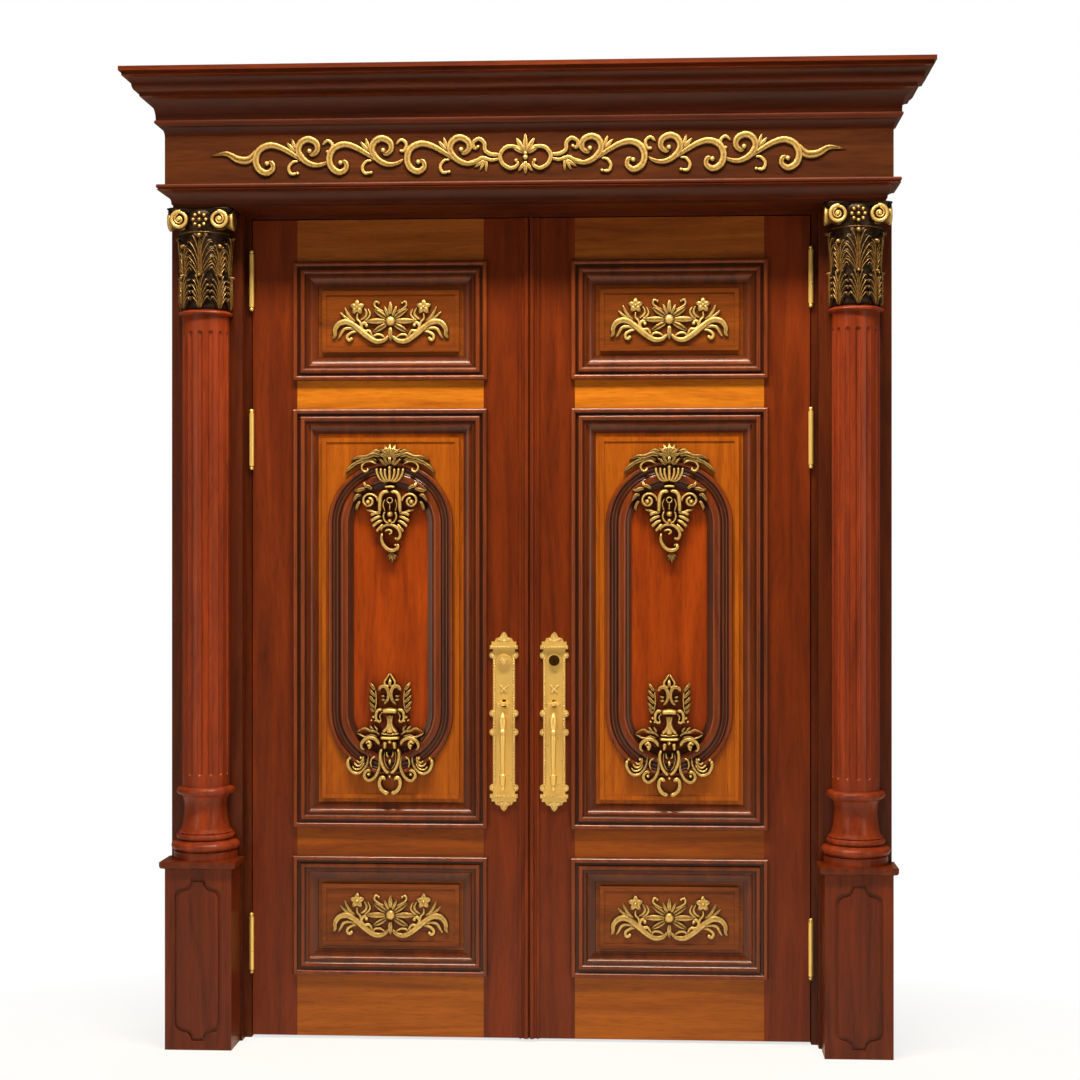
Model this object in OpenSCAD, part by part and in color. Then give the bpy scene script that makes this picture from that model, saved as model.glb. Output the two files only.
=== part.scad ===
// Carved double entrance door: two panelled leaves in a columned frame with a
// moulded entablature, gilt carving, long handle plates and a mortise lock.
// Front faces -Y, the floor is z = 0, and the depth is centred on y = 0.

/* [Leaves] */
// Width of one leaf
leaf_w = 786; // [740:1:860]
// Height of a leaf
leaf_h = 2310; // [2250:1:2450]
// Thickness of a leaf
leaf_t = 50; // [48:1:56]
// Width of each stile
stile_w = 128; // [122:1:140]
// Height of the top rail
top_rail_h = 130; // [100:1:160]
// Height of each cross rail
cross_rail_h = 103; // [90:1:120]
// Height of the bottom rail
bottom_rail_h = 185; // [150:1:230]
// Height of the two small panel openings
small_panel_h = 314; // [300:1:340]
// Gap under the leaves
floor_gap = 8; // [5:1:12]
// Gap above the leaves
head_gap = 3; // [2:0.5:5]
// Gap between a leaf and its jamb
edge_gap = 3; // [2.5:0.5:4]
// Gap between the two leaves at their front edges
meeting_gap = 2; // [1.5:0.5:4]
// How far the meeting edges are bevelled back
meeting_bevel = 2.5; // [2.5:0.5:5]
// Width of the moulded strip along each meeting edge
strip_w = 27; // [24:1:30]
// Height of the bead on that strip
strip_proud = 10.5; // [8:0.5:12]

/* [Panels] */
// Thickness of a panel's edge
panel_t = 20; // [16:1:22]
// Depth of the grooves that hold the panels
groove_depth = 12; // [10:1:15]
// Clearance of a tongue in its groove, each side
groove_fit = 0.15; // [0.1:0.05:0.3]
// Clearance at the bottom of a groove
groove_end = 2; // [1:0.5:4]
// Height of the raised field over the panel's edge
raise_h = 10; // [7:1:12]
// Distance from the opening to the raised field
raise_margin = 70; // [66:1:76]
// Width of the border round the field
border_w = 12; // [8:1:14]
// Depth of the field below its border
field_sink = 3; // [2:0.5:4]
// Width of the panel mouldings
moulding_w = 70; // [60:1:74]
// Lap of the mouldings over the stiles and rails
moulding_lap = 12; // [9:1:16]
// Height of the mouldings over the stiles
moulding_proud = 16; // [12:1:18]
// Open joint left at each mitre
mitre_gap = 0.3; // [0.2:0.1:0.5]

/* [Oval moulding] */
// Distance from the opening's sides to the oblong oval
oval_side_gap = 86.5; // [84:0.5:95]
// Distance from the opening's ends to the oblong oval
oval_end_gap = 136.5; // [120:0.5:170]
// Width of its moulding
oval_ring_w = 73; // [65:1:80]
// Height of its moulding over the field
oval_proud = 11; // [9:1:14]
// Depth of the panel inside the oval below the field
oval_sink = 6; // [4:1:7]

/* [Frame] */
// Thickness of the jambs and head
jamb_t = 45; // [40:1:60]
// Depth of the jambs behind the wall face
jamb_depth = 160; // [140:1:240]
// How far the door stop stands into the opening
stop_w = 15; // [12:1:20]
// Gap between a closed leaf and its stop
stop_gap = 2; // [1:0.5:3]
// Width of the pilaster boards
board_w = 201; // [190:1:220]
// Thickness of the pilaster boards
board_t = 40; // [30:1:50]
// Jamb face left to see beside each board
board_reveal = 17.5; // [15:0.5:25]
// Head face left to see over the leaves
head_reveal = 12; // [8:1:20]
// Radius of the fixing holes in the jambs
fixing_r = 5; // [3:0.5:6]

/* [Columns] */
// Width of the pedestals
pedestal_w = 186; // [180:1:196]
// Height of the pedestals under their caps
pedestal_h = 500; // [440:1:560]
// How far the pedestals stand out from the boards
pedestal_proud = 103; // [98:1:115]
// Height of the pedestal caps
cap_h = 21; // [16:1:30]
// Overhang of the pedestal caps
cap_over = 13; // [8:1:15]
// Height of the turned bases
base_h = 201; // [180:1:230]
// Radius of the bases' widest ring
base_r = 95; // [90:1:98]
// Radius of the shafts
shaft_r = 66; // [60:1:70]
// How far the columns' middles stand off the boards
column_out = 15; // [8:1:18]
// Number of flutes round a whole shaft
flute_count = 14; // [12:1:16]
// Radius of a flute
flute_r = 8; // [6:0.5:10]
// Height of the capitals
capital_h = 281; // [250:1:300]
// Height of the ring under each capital
astragal_h = 16; // [12:1:22]

/* [Entablature] */
// Height of the architrave moulding
architrave_h = 60; // [50:1:75]
// Overhang of the architrave past the frieze
architrave_over = 20; // [15:1:25]
// Height of the frieze
frieze_h = 133; // [126:1:160]
// Height of the cornice
cornice_h = 173; // [150:1:200]
// Overhang of the cornice past the frieze
cornice_over = 102; // [80:1:120]

/* [Carving] */
// Distance from a small opening's sides to its flower spray
spray_side_gap = 99; // [94:1:115]
// Height of the relief of the sprays
spray_relief = 14; // [10:1:18]
// Distance from the oval's sides to the crest ornament
crest_side_gap = 62.5; // [55:0.5:72]
// Distance from the oval's sides to the pendant ornament
pendant_side_gap = 59.5; // [55:0.5:72]
// Height of the relief of crest and pendant
crest_relief = 30; // [24:1:36]
// Height of the scroll on the frieze
scroll_h = 109; // [95:1:118]
// Height of the relief of the frieze scroll
scroll_relief = 11; // [8:1:15]

/* [Hinges] */
// Height of a hinge plate
hinge_h = 150; // [120:1:180]
// Radius of the knuckles
knuckle_r = 7; // [6:0.5:9]
// Radius of the hinge pins
pin_r = 3.5; // [3:0.25:4]
// Running clearance round the pins
pin_fit = 0.05; // [0.03:0.01:0.08]
// Thickness of the hinge plates
hinge_plate_t = 3; // [2.5:0.25:3.5]
// Depth of the hinge plates
hinge_plate_depth = 40; // [34:1:44]

/* [Handles and lock] */
// Distance from the leaf's edge to the handle's middle
backset = 70; // [66:1:74]
// Height of the handle plates
plate_h = 505; // [480:1:540]
// Width of the handle plates
plate_w = 62; // [56:1:66]
// Thickness of the handle plates
plate_t = 6; // [5:0.5:8]
// Height of the thumb piece over the floor
thumb_z = 951; // [920:1:1000]
// Distance from the plate's foot to the thumb piece
thumb_up = 303; // [290:1:320]
// Distance from the thumb piece up to the key cylinder
cylinder_up = 122; // [110:1:140]
// How far the grip's middle stands off the leaf
grip_out = 48; // [44:1:56]
// Radius of the key cylinder
cylinder_r = 15; // [13:0.5:17]
// Travel of the latch bolt
latch_throw = 12; // [9:1:14]
// Travel of the dead bolt
dead_throw = 20; // [15:1:24]
// Travel of the flush bolts
flush_throw = 15; // [10:1:20]
// Sliding clearance round the bolts
slide_fit = 0.3; // [0.2:0.05:0.5]

/* [Hidden] */
$fn = 48;

// Colours
wood = "#7a3a16";
light_wood = "#a8601f";
dark_wood = "#5a2a10";
gilt = "#c9a34a";
brass = "#e0bd62";
steel = "#9a9a96";

// One overrun serves all cuts, and one fit all fixed pieces that slip together
overrun = 1;
seat_fit = 0.3;

// Places across the doorway, on the right-hand side
edge_x = meeting_gap / 2;
open_x0 = edge_x + stile_w;
open_x1 = edge_x + leaf_w - stile_w;
hinge_x = edge_x + leaf_w;
jamb_x = hinge_x + edge_gap;
column_x = jamb_x + board_reveal + board_w / 2;
leaf_mid_x = edge_x + leaf_w / 2;
open_w = open_x1 - open_x0;

// Heights
leaf_top = floor_gap + leaf_h;
main_panel_h = leaf_h - bottom_rail_h - top_rail_h - 2 * cross_rail_h - 2 * small_panel_h;
low_panel_y = floor_gap + bottom_rail_h;
main_panel_y = low_panel_y + small_panel_h + cross_rail_h;
high_panel_y = main_panel_y + main_panel_h + cross_rail_h;
main_mid_y = main_panel_y + main_panel_h / 2;
head_y = leaf_top + head_gap;
architrave_y = head_y + head_reveal;
frieze_y = architrave_y + architrave_h;
cornice_y = frieze_y + frieze_h;
base_y = pedestal_h + cap_h;
shaft_y = base_y + base_h;
capital_y = architrave_y - capital_h;
oval_w = open_w - 2 * oval_side_gap;
oval_h = main_panel_h - 2 * oval_end_gap;
oval_mean = sqrt(oval_w * oval_h);
small_field_h = small_panel_h - 2 * (raise_margin + border_w);

// Depths, measured forward from the front face of the leaves
panel_mid = -leaf_t / 2;
panel_front = panel_mid + panel_t / 2;
raised_front = panel_front + raise_h;
field_front = raised_front - field_sink;
column_d = board_t + column_out;
frieze_d = board_t + pedestal_proud;
frieze_half = column_x + pedestal_w / 2;
stop_d = -leaf_t - stop_gap;
leaf_front_y = (frieze_d + cornice_over - jamb_depth) / 2;

// Frame fixings: two pairs of holes in each jamb, behind the leaf
fixing_d = (stop_d - jamb_depth) / 2;
fixing_mid_y = leaf_h / 2;
fixing_span_shares = [0.78, 0.26];

// Hinges
hinge_y_shares = [0.113, 0.731, 0.926];
axis_x = hinge_x + edge_gap / 2;
knuckle_gap = 0.3;
knuckle_stand = 0.5;
axis_d = knuckle_r + knuckle_stand;
plate_stand_share = 0.27;
plate_in = hinge_plate_t * (1 - plate_stand_share);
knuckle_count = 5;
knuckle_h = hinge_h / knuckle_count;
finial_r = 6;

// Handle set, placed by the thumb piece
handle_x = edge_x + backset;
plate_y = thumb_z - thumb_up;
pivot_r = 2.5;
pivot_d = 9;
cheek_w = 5;
thumb_w = 10;
thumb_tail = 22;
thumb_pad_w = 40;
thumb_pad_t = 6;
thumb_reach = 44;
thumb_slot_h = 22;
grip_r = 9;
post_r = 7;
inner_plate_t = 5;
inner_plate_h = 240;
inner_plate_over = 55;
hub_r = 10;
lever_out = 62;
lever_l = 115;
turn_hub_r = 8;
turn_out = 26;
turn_stand = 1;

// Lock
case_t = 18;
case_l = 88;
case_below = 70;
case_above = 46;
forend_t = 3;
forend_w = 22;
forend_in = 1;
forend_x = edge_x + meeting_bevel + forend_in;
latch_h = 22;
latch_l = 50;
dead_h = 32;
dead_l = 56;
bolt_t = 14;
dead_down = 48;
flush_r = 6;
flush_l = 200;
flush_x = edge_x + 2 * strip_w / 3;
flush_tab_r = 3;
flush_tab_share = 0.3;

// Carving: how a unit stroke is cut
stroke_steps = 3;
spiral_steps = 5;
edge_rise_share = 0.5;

// General placing

module stand() translate([0, leaf_front_y, 0]) rotate([90, 0, 0]) children();

module left_side() mirror([1, 0, 0]) children();

module both_sides() {
    children();
    mirror([1, 0, 0]) children();
}

// A section in x and depth, standing from the floor up to h
module rise(h) translate([0, h, 0]) rotate([90, 0, 0]) linear_extrude(h) children();

// A section in x and height turned about a standing axis
module turned() rotate([-90, 0, 0]) rotate_extrude() children();

module box(low, high) translate(low) cube(high - low);

// Copies on the front and back faces of a leaf
module both_faces() {
    children();
    translate([0, 0, -leaf_t]) mirror([0, 0, 1]) children();
}

// Points of a quarter ellipse from p to q, starting along x or along y
function quarter(p, q, steps, along_x) = [for (i = [0 : steps])
    let (a = 90 * i / steps)
    along_x
        ? [p.x + (q.x - p.x) * sin(a), p.y + (q.y - p.y) * (1 - cos(a))]
        : [p.x + (q.x - p.x) * (1 - cos(a)), p.y + (q.y - p.y) * sin(a)]];

// The same run without its first point, to follow on from another
function onward(p, q, steps, along_x) = [for (i = [1 : steps]) quarter(p, q, steps, along_x)[i]];

// A closed solid between a front grid and a back grid of points
module sheet_between(front, back) {
    rows = len(front);
    cols = len(front[0]);
    count = rows * cols;
    function at(i, j) = i * cols + j;
    points = concat([for (row = front) each row], [for (row = back) each row]);
    skin = [for (i = [0 : rows - 2], j = [0 : cols - 2])
        each [[at(i, j), at(i + 1, j + 1), at(i, j + 1)], [at(i, j), at(i + 1, j), at(i + 1, j + 1)]]];
    inside = [for (f = skin) [f[0] + count, f[2] + count, f[1] + count]];
    rim = concat(
        [for (j = [0 : cols - 1]) at(0, j)],
        [for (i = [1 : rows - 1]) at(i, cols - 1)],
        [for (j = [cols - 2 : -1 : 0]) at(rows - 1, j)],
        [for (i = [rows - 2 : -1 : 1]) at(i, 0)]);
    wall = [for (k = [0 : len(rim) - 1])
        let (a = rim[k], b = rim[(k + 1) % len(rim)])
        each [[a, b + count, a + count], [a, b, b + count]]];
    polyhedron(points, concat(skin, inside, wall), convexity = 6);
}

// A moulding that runs round the front and both ends of a box: profile points
// are overhang and height, and the back lies on the wall face
module run_round(half_w, front, profile) {
    rings = len(profile);
    points = [for (p = profile) each [
        [-half_w - p.x, p.y, 0], [half_w + p.x, p.y, 0],
        [half_w + p.x, p.y, front + p.x], [-half_w - p.x, p.y, front + p.x]]];
    sides = [for (i = [0 : rings - 2], k = [0 : 3])
        let (a = 4 * i + k, b = 4 * i + (k + 1) % 4)
        [a, b, b + 4, a + 4]];
    top = 4 * (rings - 1);
    polyhedron(points, concat([[3, 2, 1, 0]], sides, [[top, top + 1, top + 2, top + 3]]), convexity = 8);
}

// Frame

module jamb() color(wood) difference() {
    union() {
        box([jamb_x, 0, -jamb_depth], [jamb_x + jamb_t, head_y, 0]);
        box([jamb_x - stop_w, 0, -jamb_depth], [jamb_x, head_y, stop_d]);
    }
    for (span = fixing_span_shares, s = [-1, 1])
        translate([jamb_x - stop_w - overrun, fixing_mid_y + s * span * leaf_h / 2, fixing_d])
            rotate([0, 90, 0]) cylinder(h = jamb_t + stop_w + 2 * overrun, r = fixing_r);
    for (share = hinge_y_shares)
        hinge_pocket(jamb_x, share);
}

// The head is rebated by a planted stop, a strip of its own with room for glue, and holds the bolt's socket
module head_jamb() color(wood) {
    socket_half = flush_r + slide_fit;
    difference() {
        box([-jamb_x - jamb_t, head_y, -jamb_depth], [jamb_x + jamb_t, head_y + jamb_t, 0]);
        box([-flush_x - socket_half, head_y - overrun, panel_mid - socket_half],
            [socket_half - flush_x, head_y + 2 * flush_throw, panel_mid + socket_half]);
    }
    box([stop_w - jamb_x, head_y - stop_w, -jamb_depth], [jamb_x - stop_w, head_y - groove_fit, stop_d]);
}

module pilaster_board() color(wood)
    box([column_x - board_w / 2, 0, 0], [column_x + board_w / 2, architrave_y, board_t]);

// Outline of the sunk groove on a pedestal: straight sides, ogee shoulders and flat tips
cartouche_w = 130;
cartouche_edge = 26;
cartouche_tip = 37;
shoulder_h = 50;
groove_w = 9;
groove_in = 5;

function cartouche(half_w, half_h, tip, shoulder) = concat(
    quarter([half_w, half_h - shoulder], [(half_w + tip) / 2, half_h - shoulder / 2], 4, false),
    onward([(half_w + tip) / 2, half_h - shoulder / 2], [tip, half_h], 4, true));

module cartouche_area(inset) {
    quarter_run = cartouche(cartouche_w / 2 - inset, pedestal_h / 2 - cartouche_edge - inset,
        cartouche_tip / 2 - inset / 2, shoulder_h);
    back_run = [for (i = [len(quarter_run) - 1 : -1 : 0]) quarter_run[i]];
    polygon(concat(quarter_run,
        [for (p = back_run) [-p.x, p.y]],
        [for (p = quarter_run) [-p.x, -p.y]],
        [for (p = back_run) [p.x, -p.y]]));
}

// Cap profile: overhang and height shares
cap_shares = [[0, 0], [0.3, 0.08], [1, 0.5], [1, 1]];

module pedestal() color(dark_wood) {
    difference() {
        box([column_x - pedestal_w / 2, 0, board_t], [column_x + pedestal_w / 2, pedestal_h, frieze_d]);
        translate([column_x, pedestal_h / 2, frieze_d - groove_in]) linear_extrude(groove_in + overrun)
            difference() {
                cartouche_area(0);
                cartouche_area(groove_w);
            }
    }
    translate([column_x, pedestal_h, board_t]) run_round(pedestal_w / 2, pedestal_proud, concat(
        [[0, 0]],
        quarter([cap_shares[1].x * cap_over, cap_shares[1].y * cap_h],
            [cap_shares[2].x * cap_over, cap_shares[2].y * cap_h], 4, true),
        [[cap_over, cap_h]]));
}

// Points of a half-round bead from low to high, standing out from x
function bulge(x, low, high, out) = concat(
    quarter([x, low], [x + out, (low + high) / 2], 4, true),
    onward([x + out, (low + high) / 2], [x, high], 4, false));

// Turned base, bottom to top: plinth, torus, ring, scotia neck and collar.
// Beads hold radius, low, high and swell; the rest radius and height, all as
// shares of the widest radius and of the height
base_plinth_shares = [0.93, 0.11];
base_bead_shares = [[0.86, 0.115, 0.245, 0.14], [0.78, 0.27, 0.35, 0.07], [0.74, 0.885, 0.995, 0.11]];
base_neck_shares = [[0.8, 0.37], [0.63, 0.73], [0.72, 0.875]];

function base_point(share) = [share.x * base_r, share.y * base_h];
function base_bead(i) = let (b = base_bead_shares[i])
    bulge(b[0] * base_r, b[1] * base_h, b[2] * base_h, b[3] * base_r);

module keep_front() difference() {
    children();
    box([-2 * base_r, -overrun, -2 * base_r], [2 * base_r, leaf_h, -column_out]);
}

module column_base() color(dark_wood) translate([column_x, base_y, column_d]) keep_front() turned()
    polygon(concat(
        [[0, 0], [base_plinth_shares[0] * base_r, 0], base_point(base_plinth_shares)],
        base_bead(0), base_bead(1),
        quarter(base_point(base_neck_shares[0]), base_point(base_neck_shares[1]), 6, true),
        onward(base_point(base_neck_shares[1]), base_point(base_neck_shares[2]), 4, false),
        base_bead(2), [[shaft_r, base_h], [0, base_h]]));

// Flutes stop short of the shaft's ends
flute_low_share = 0.03;
flute_high_share = 0.037;
flute_sink_share = 0.7;
astragal_r = 77;

module column_shaft() color(wood) translate([column_x, shaft_y, column_d]) keep_front() {
    shaft_h = capital_y - shaft_y;
    flute_low = flute_low_share * shaft_h;
    flute_high = shaft_h - astragal_h - flute_high_share * shaft_h;
    difference() {
        rotate([-90, 0, 0]) cylinder(h = shaft_h - astragal_h, r = shaft_r);
        for (i = [-3 : 3]) rotate([0, i * 360 / flute_count, 0])
            translate([0, 0, shaft_r + flute_sink_share * flute_r / 2]) {
                translate([0, flute_low, 0]) rotate([-90, 0, 0])
                    cylinder(h = flute_high - flute_low, r = flute_r);
                for (end = [flute_low, flute_high]) translate([0, end, 0]) sphere(flute_r);
            }
    }
    translate([0, shaft_h - astragal_h, 0]) turned() polygon(concat(
        [[0, 0], [shaft_r, 0]],
        bulge(shaft_r, astragal_h / 8, astragal_h * 7 / 8, astragal_r - shaft_r),
        [[shaft_r, astragal_h], [0, astragal_h]]));
}

// Entablature

architrave_back = 18;

// Architrave profile, bottom to top: fillet, cove and bead, as shares of the
// step from its back to its tip and of its height
architrave_shares = [[0, 0], [0, 0.125], [0.09, 0.167], [0.84, 0.754], [0.92, 0.82], [1, 0.91], [0.92, 1]];

function architrave_at(i) = [architrave_shares[i].x * (architrave_back + architrave_over) - architrave_back,
    architrave_shares[i].y * architrave_h];

module architrave() color(dark_wood) translate([0, architrave_y, 0]) run_round(frieze_half, frieze_d, concat(
    [architrave_at(0), architrave_at(1)],
    quarter(architrave_at(2), architrave_at(3), 6, false),
    quarter(architrave_at(4), architrave_at(5), 3, true),
    onward(architrave_at(5), architrave_at(6), 3, false)));

module frieze_board() color(wood)
    box([-frieze_half, frieze_y, 0], [frieze_half, cornice_y, frieze_d]);

// Cornice profile, bottom to top: cove, bead, cove, fillet, ogee and top fillet,
// as shares of the overhang and of the height
cornice_shares = [[0, 0], [0.16, 0.16], [0.21, 0.19], [0.21, 0.25], [0.2, 0.26], [0.5, 0.58],
    [0.55, 0.59], [0.55, 0.63], [0.7, 0.72], [0.88, 0.86], [0.93, 0.87], [0.93, 0.92], [1, 0.93], [1, 1]];

function cornice_at(i) = [cornice_shares[i].x * cornice_over, cornice_shares[i].y * cornice_h];

module cornice() color(dark_wood) translate([0, cornice_y, 0]) run_round(frieze_half, frieze_d, concat(
    quarter(cornice_at(0), cornice_at(1), 4, false),
    quarter(cornice_at(2), cornice_at(3), 3, true),
    quarter(cornice_at(4), cornice_at(5), 6, false),
    [cornice_at(6), cornice_at(7)],
    onward(cornice_at(7), cornice_at(8), 5, true),
    onward(cornice_at(8), cornice_at(9), 5, false),
    [cornice_at(10), cornice_at(11), cornice_at(12), cornice_at(13)]));

// Hinges

module hinge_pocket(face_x, share) {
    mid_y = floor_gap + share * leaf_h;
    half_x = plate_in + seat_fit / 2;
    half_h = (hinge_h + seat_fit) / 2;
    box([face_x - half_x, mid_y - half_h, -hinge_plate_depth - seat_fit / 2],
        [face_x + half_x, mid_y + half_h, overrun]);
}

// One wing of a hinge: its plate from x0 to x1 and the knuckles of one parity
module hinge_wing(x0, x1, parity) difference() {
    union() {
        box([x0, -hinge_h / 2, -hinge_plate_depth], [x1, hinge_h / 2, -knuckle_gap]);
        for (i = [0 : knuckle_count - 1]) if (i % 2 == parity) {
            low = -hinge_h / 2 + i * knuckle_h + knuckle_gap / 2;
            box([x0, low, -2 * knuckle_gap], [x1, low + knuckle_h - knuckle_gap, axis_d]);
            translate([axis_x, low, axis_d]) rotate([-90, 0, 0])
                cylinder(h = knuckle_h - knuckle_gap, r = knuckle_r);
        }
    }
    translate([axis_x, -hinge_h / 2 - overrun, axis_d]) rotate([-90, 0, 0])
        cylinder(h = hinge_h + 2 * overrun, r = pin_r + pin_fit);
}

module at_hinges() for (share = hinge_y_shares) translate([0, floor_gap + share * leaf_h, 0]) children();

module hinge_jamb_plates() color(brass) both_sides() at_hinges()
    hinge_wing(jamb_x + plate_in - hinge_plate_t, jamb_x + plate_in, 0);

module hinge_leaf_plates() color(brass) at_hinges()
    hinge_wing(hinge_x - plate_in, hinge_x - plate_in + hinge_plate_t, 1);

module hinge_pins() color(brass) both_sides() at_hinges() translate([axis_x, 0, axis_d]) {
    translate([0, -hinge_h / 2 - finial_r / 2, 0]) rotate([-90, 0, 0])
        cylinder(h = hinge_h + finial_r, r = pin_r);
    for (s = [-1, 1]) translate([0, s * (hinge_h / 2 + finial_r), 0]) sphere(finial_r - knuckle_gap);
}

// Leaf joinery

module groove_area(x) translate([x, panel_mid - panel_t / 2 - groove_fit])
    square([groove_depth + overrun, panel_t + 2 * groove_fit]);

// Moulded strip of the meeting edge: bead at the gap, cove, then a fillet
strip_low_share = 0.38;
strip_fillet_share = 0.65;

module meeting_strip_area() {
    low = strip_low_share * strip_proud;
    bead_r = strip_proud - low;
    fillet_w = strip_w / 5;
    difference() {
        union() {
            translate([0, -low]) square([strip_w, 2 * low]);
            translate([bead_r + seat_fit, low]) circle(bead_r);
            translate([strip_w - fillet_w, -low]) square([fillet_w, low + strip_fillet_share * strip_proud]);
        }
        translate([strip_w - fillet_w - low, low * 1.6]) circle(low);
    }
}

module lock_stile_blank() {
    translate([0, floor_gap, 0]) rise(leaf_h) difference() {
        polygon([[edge_x, 0], [open_x0, 0], [open_x0, -leaf_t], [edge_x + meeting_bevel, -leaf_t]]);
        groove_area(open_x0 - groove_depth);
    }
    translate([edge_x, floor_gap, 0]) rise(leaf_h) meeting_strip_area();
}

module hinge_stile() color(wood) difference() {
    translate([0, floor_gap, 0]) rise(leaf_h) difference() {
        translate([open_x1, -leaf_t]) square([stile_w, leaf_t]);
        groove_area(open_x1 - overrun);
    }
    for (share = hinge_y_shares) hinge_pocket(hinge_x, share);
}

tongue_l = groove_depth - groove_end;
rail_low = [floor_gap, low_panel_y + small_panel_h, main_panel_y + main_panel_h,
    high_panel_y + small_panel_h];
rail_high = [low_panel_y, main_panel_y, high_panel_y, leaf_top];
groove_half = panel_t / 2 + groove_fit;

module rails() color(light_wood) for (i = [0 : 3]) difference() {
    union() {
        box([open_x0, rail_low[i], -leaf_t], [open_x1, rail_high[i], 0]);
        box([open_x0 - tongue_l, rail_low[i], panel_mid - panel_t / 2],
            [open_x1 + tongue_l, rail_high[i], panel_mid + panel_t / 2]);
    }
    if (i > 0) box([open_x0 - groove_depth, rail_low[i] - overrun, panel_mid - groove_half],
        [open_x1 + groove_depth, rail_low[i] + groove_depth, panel_mid + groove_half]);
    if (i < 3) box([open_x0 - groove_depth, rail_high[i] - groove_depth, panel_mid - groove_half],
        [open_x1 + groove_depth, rail_high[i] + overrun, panel_mid + groove_half]);
}

// A raised field with a border on one face of a panel
module raised_field(low_y, h) difference() {
    box([open_x0 + raise_margin, low_y + raise_margin, panel_mid],
        [open_x1 - raise_margin, low_y + h - raise_margin, raised_front]);
    box([open_x0 + raise_margin + border_w, low_y + raise_margin + border_w, field_front],
        [open_x1 - raise_margin - border_w, low_y + h - raise_margin - border_w, raised_front + overrun]);
}

module panel(low_y, h) {
    box([open_x0 - tongue_l, low_y - tongue_l, panel_mid - panel_t / 2],
        [open_x1 + tongue_l, low_y + h + tongue_l, panel_mid + panel_t / 2]);
    both_faces() raised_field(low_y, h);
}

module small_panels() color(light_wood) for (y = [low_panel_y, high_panel_y]) panel(y, small_panel_h);

module stadium(w, h) {
    square([w, h - w], center = true);
    for (s = [-1, 1]) translate([0, s * (h - w) / 2]) circle(w / 2);
}

oval_step_w = oval_w - oval_ring_w;
oval_step_h = oval_h - oval_ring_w;

module main_panel() color(light_wood) difference() {
    panel(main_panel_y, main_panel_h);
    translate([leaf_mid_x, main_mid_y, field_front - oval_sink]) linear_extrude(oval_sink + overrun)
        stadium(oval_step_w, oval_step_h);
}

// Panel moulding section, outer edge first: distance in as shares of its
// width, height as shares of its rise over the stile
moulding_shares = [[0, 0.1], [0.02, 0.55], [0.2, 0.55], [0.22, 0.25], [0.28, 0.25], [0.29, 0.38],
    [0.52, 0.38], [0.54, 0.2], [0.62, 0.2], [1, -0.8]];
moulding_bead_shares = [[0.11, 0.55, 0.085], [0.405, 0.2, 0.11]];

module moulding_area() {
    polygon(concat([[moulding_w, panel_front], [moulding_lap + seat_fit, panel_front],
        [moulding_lap + seat_fit, 0], [0, 0]],
        [for (s = moulding_shares) [s.x * moulding_w, s.y * moulding_proud]]));
    for (b = moulding_bead_shares)
        translate([b[0] * moulding_w, b[1] * moulding_proud]) circle(b[2] * moulding_w);
}

// One mitred length, lying along x with its outer edge on y = 0
module moulding_length(l) intersection() {
    rotate([90, 0, 90]) linear_extrude(l) moulding_area();
    translate([0, 0, -leaf_t]) linear_extrude(2 * leaf_t)
        polygon([[mitre_gap, 0], [l - mitre_gap, 0],
            [l - moulding_w - mitre_gap, moulding_w], [moulding_w + mitre_gap, moulding_w]]);
}

module moulding_frame(low_y, h) {
    w = open_w + 2 * moulding_lap;
    tall = h + 2 * moulding_lap;
    both_faces() translate([open_x0 - moulding_lap, low_y - moulding_lap, 0]) {
        moulding_length(w);
        translate([w, 0, 0]) rotate([0, 0, 90]) moulding_length(tall);
        translate([w, tall, 0]) rotate([0, 0, 180]) moulding_length(w);
        translate([0, tall, 0]) rotate([0, 0, 270]) moulding_length(tall);
    }
}

module small_mouldings() color(wood) for (y = [low_panel_y, high_panel_y]) moulding_frame(y, small_panel_h);

module main_moulding() color(wood) moulding_frame(main_panel_y, main_panel_h);

// Oval moulding section, outer edge first, as shares of its width and rise
oval_shares = [[0, 0], [0, 0.45], [0.18, 0.45], [0.18, 0.3], [0.46, 0.3], [0.46, 0.4], [0.8, 0.4], [1, -0.1]];
oval_bead_shares = [[0.09, 0.51, 0.075], [0.64, 0.1, 0.09]];

module oval_area() {
    outer = oval_w / 2;
    polygon(concat([for (s = oval_shares) [outer - s.x * oval_ring_w, s.y * oval_proud]],
        [[outer - oval_ring_w, -oval_sink], [oval_step_w / 2 - seat_fit, -oval_sink],
            [oval_step_w / 2 - seat_fit, 0]]));
    for (b = oval_bead_shares)
        translate([outer - b[0] * oval_ring_w, b[1] * oval_proud]) circle(b[2] * oval_ring_w);
}

module oval_moulding() color(wood) translate([leaf_mid_x, main_mid_y, field_front]) {
    run = oval_h - oval_w;
    both_sides() translate([0, -run / 2, 0]) rise(run) oval_area();
    for (turn = [0, 180]) rotate([0, 0, turn]) translate([0, run / 2, 0])
        rotate_extrude(angle = 180) oval_area();
}

// Carving: strokes of tapering width with a ridged section, petals and beads

function curve_at(p, t) = pow(1 - t, 3) * p[0] + 3 * pow(1 - t, 2) * t * p[1]
    + 3 * (1 - t) * t * t * p[2] + pow(t, 3) * p[3];
function swell_at(w, t) = (1 - t) * (1 - t) * w[0] + 2 * (1 - t) * t * w[1] + t * t * w[2];
function spiral_at(s, t) = s[0] + (s[1][0] + (s[1][1] - s[1][0]) * t)
    * [cos(s[2][0] + (s[2][1] - s[2][0]) * t), sin(s[2][0] + (s[2][1] - s[2][0]) * t)];

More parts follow.
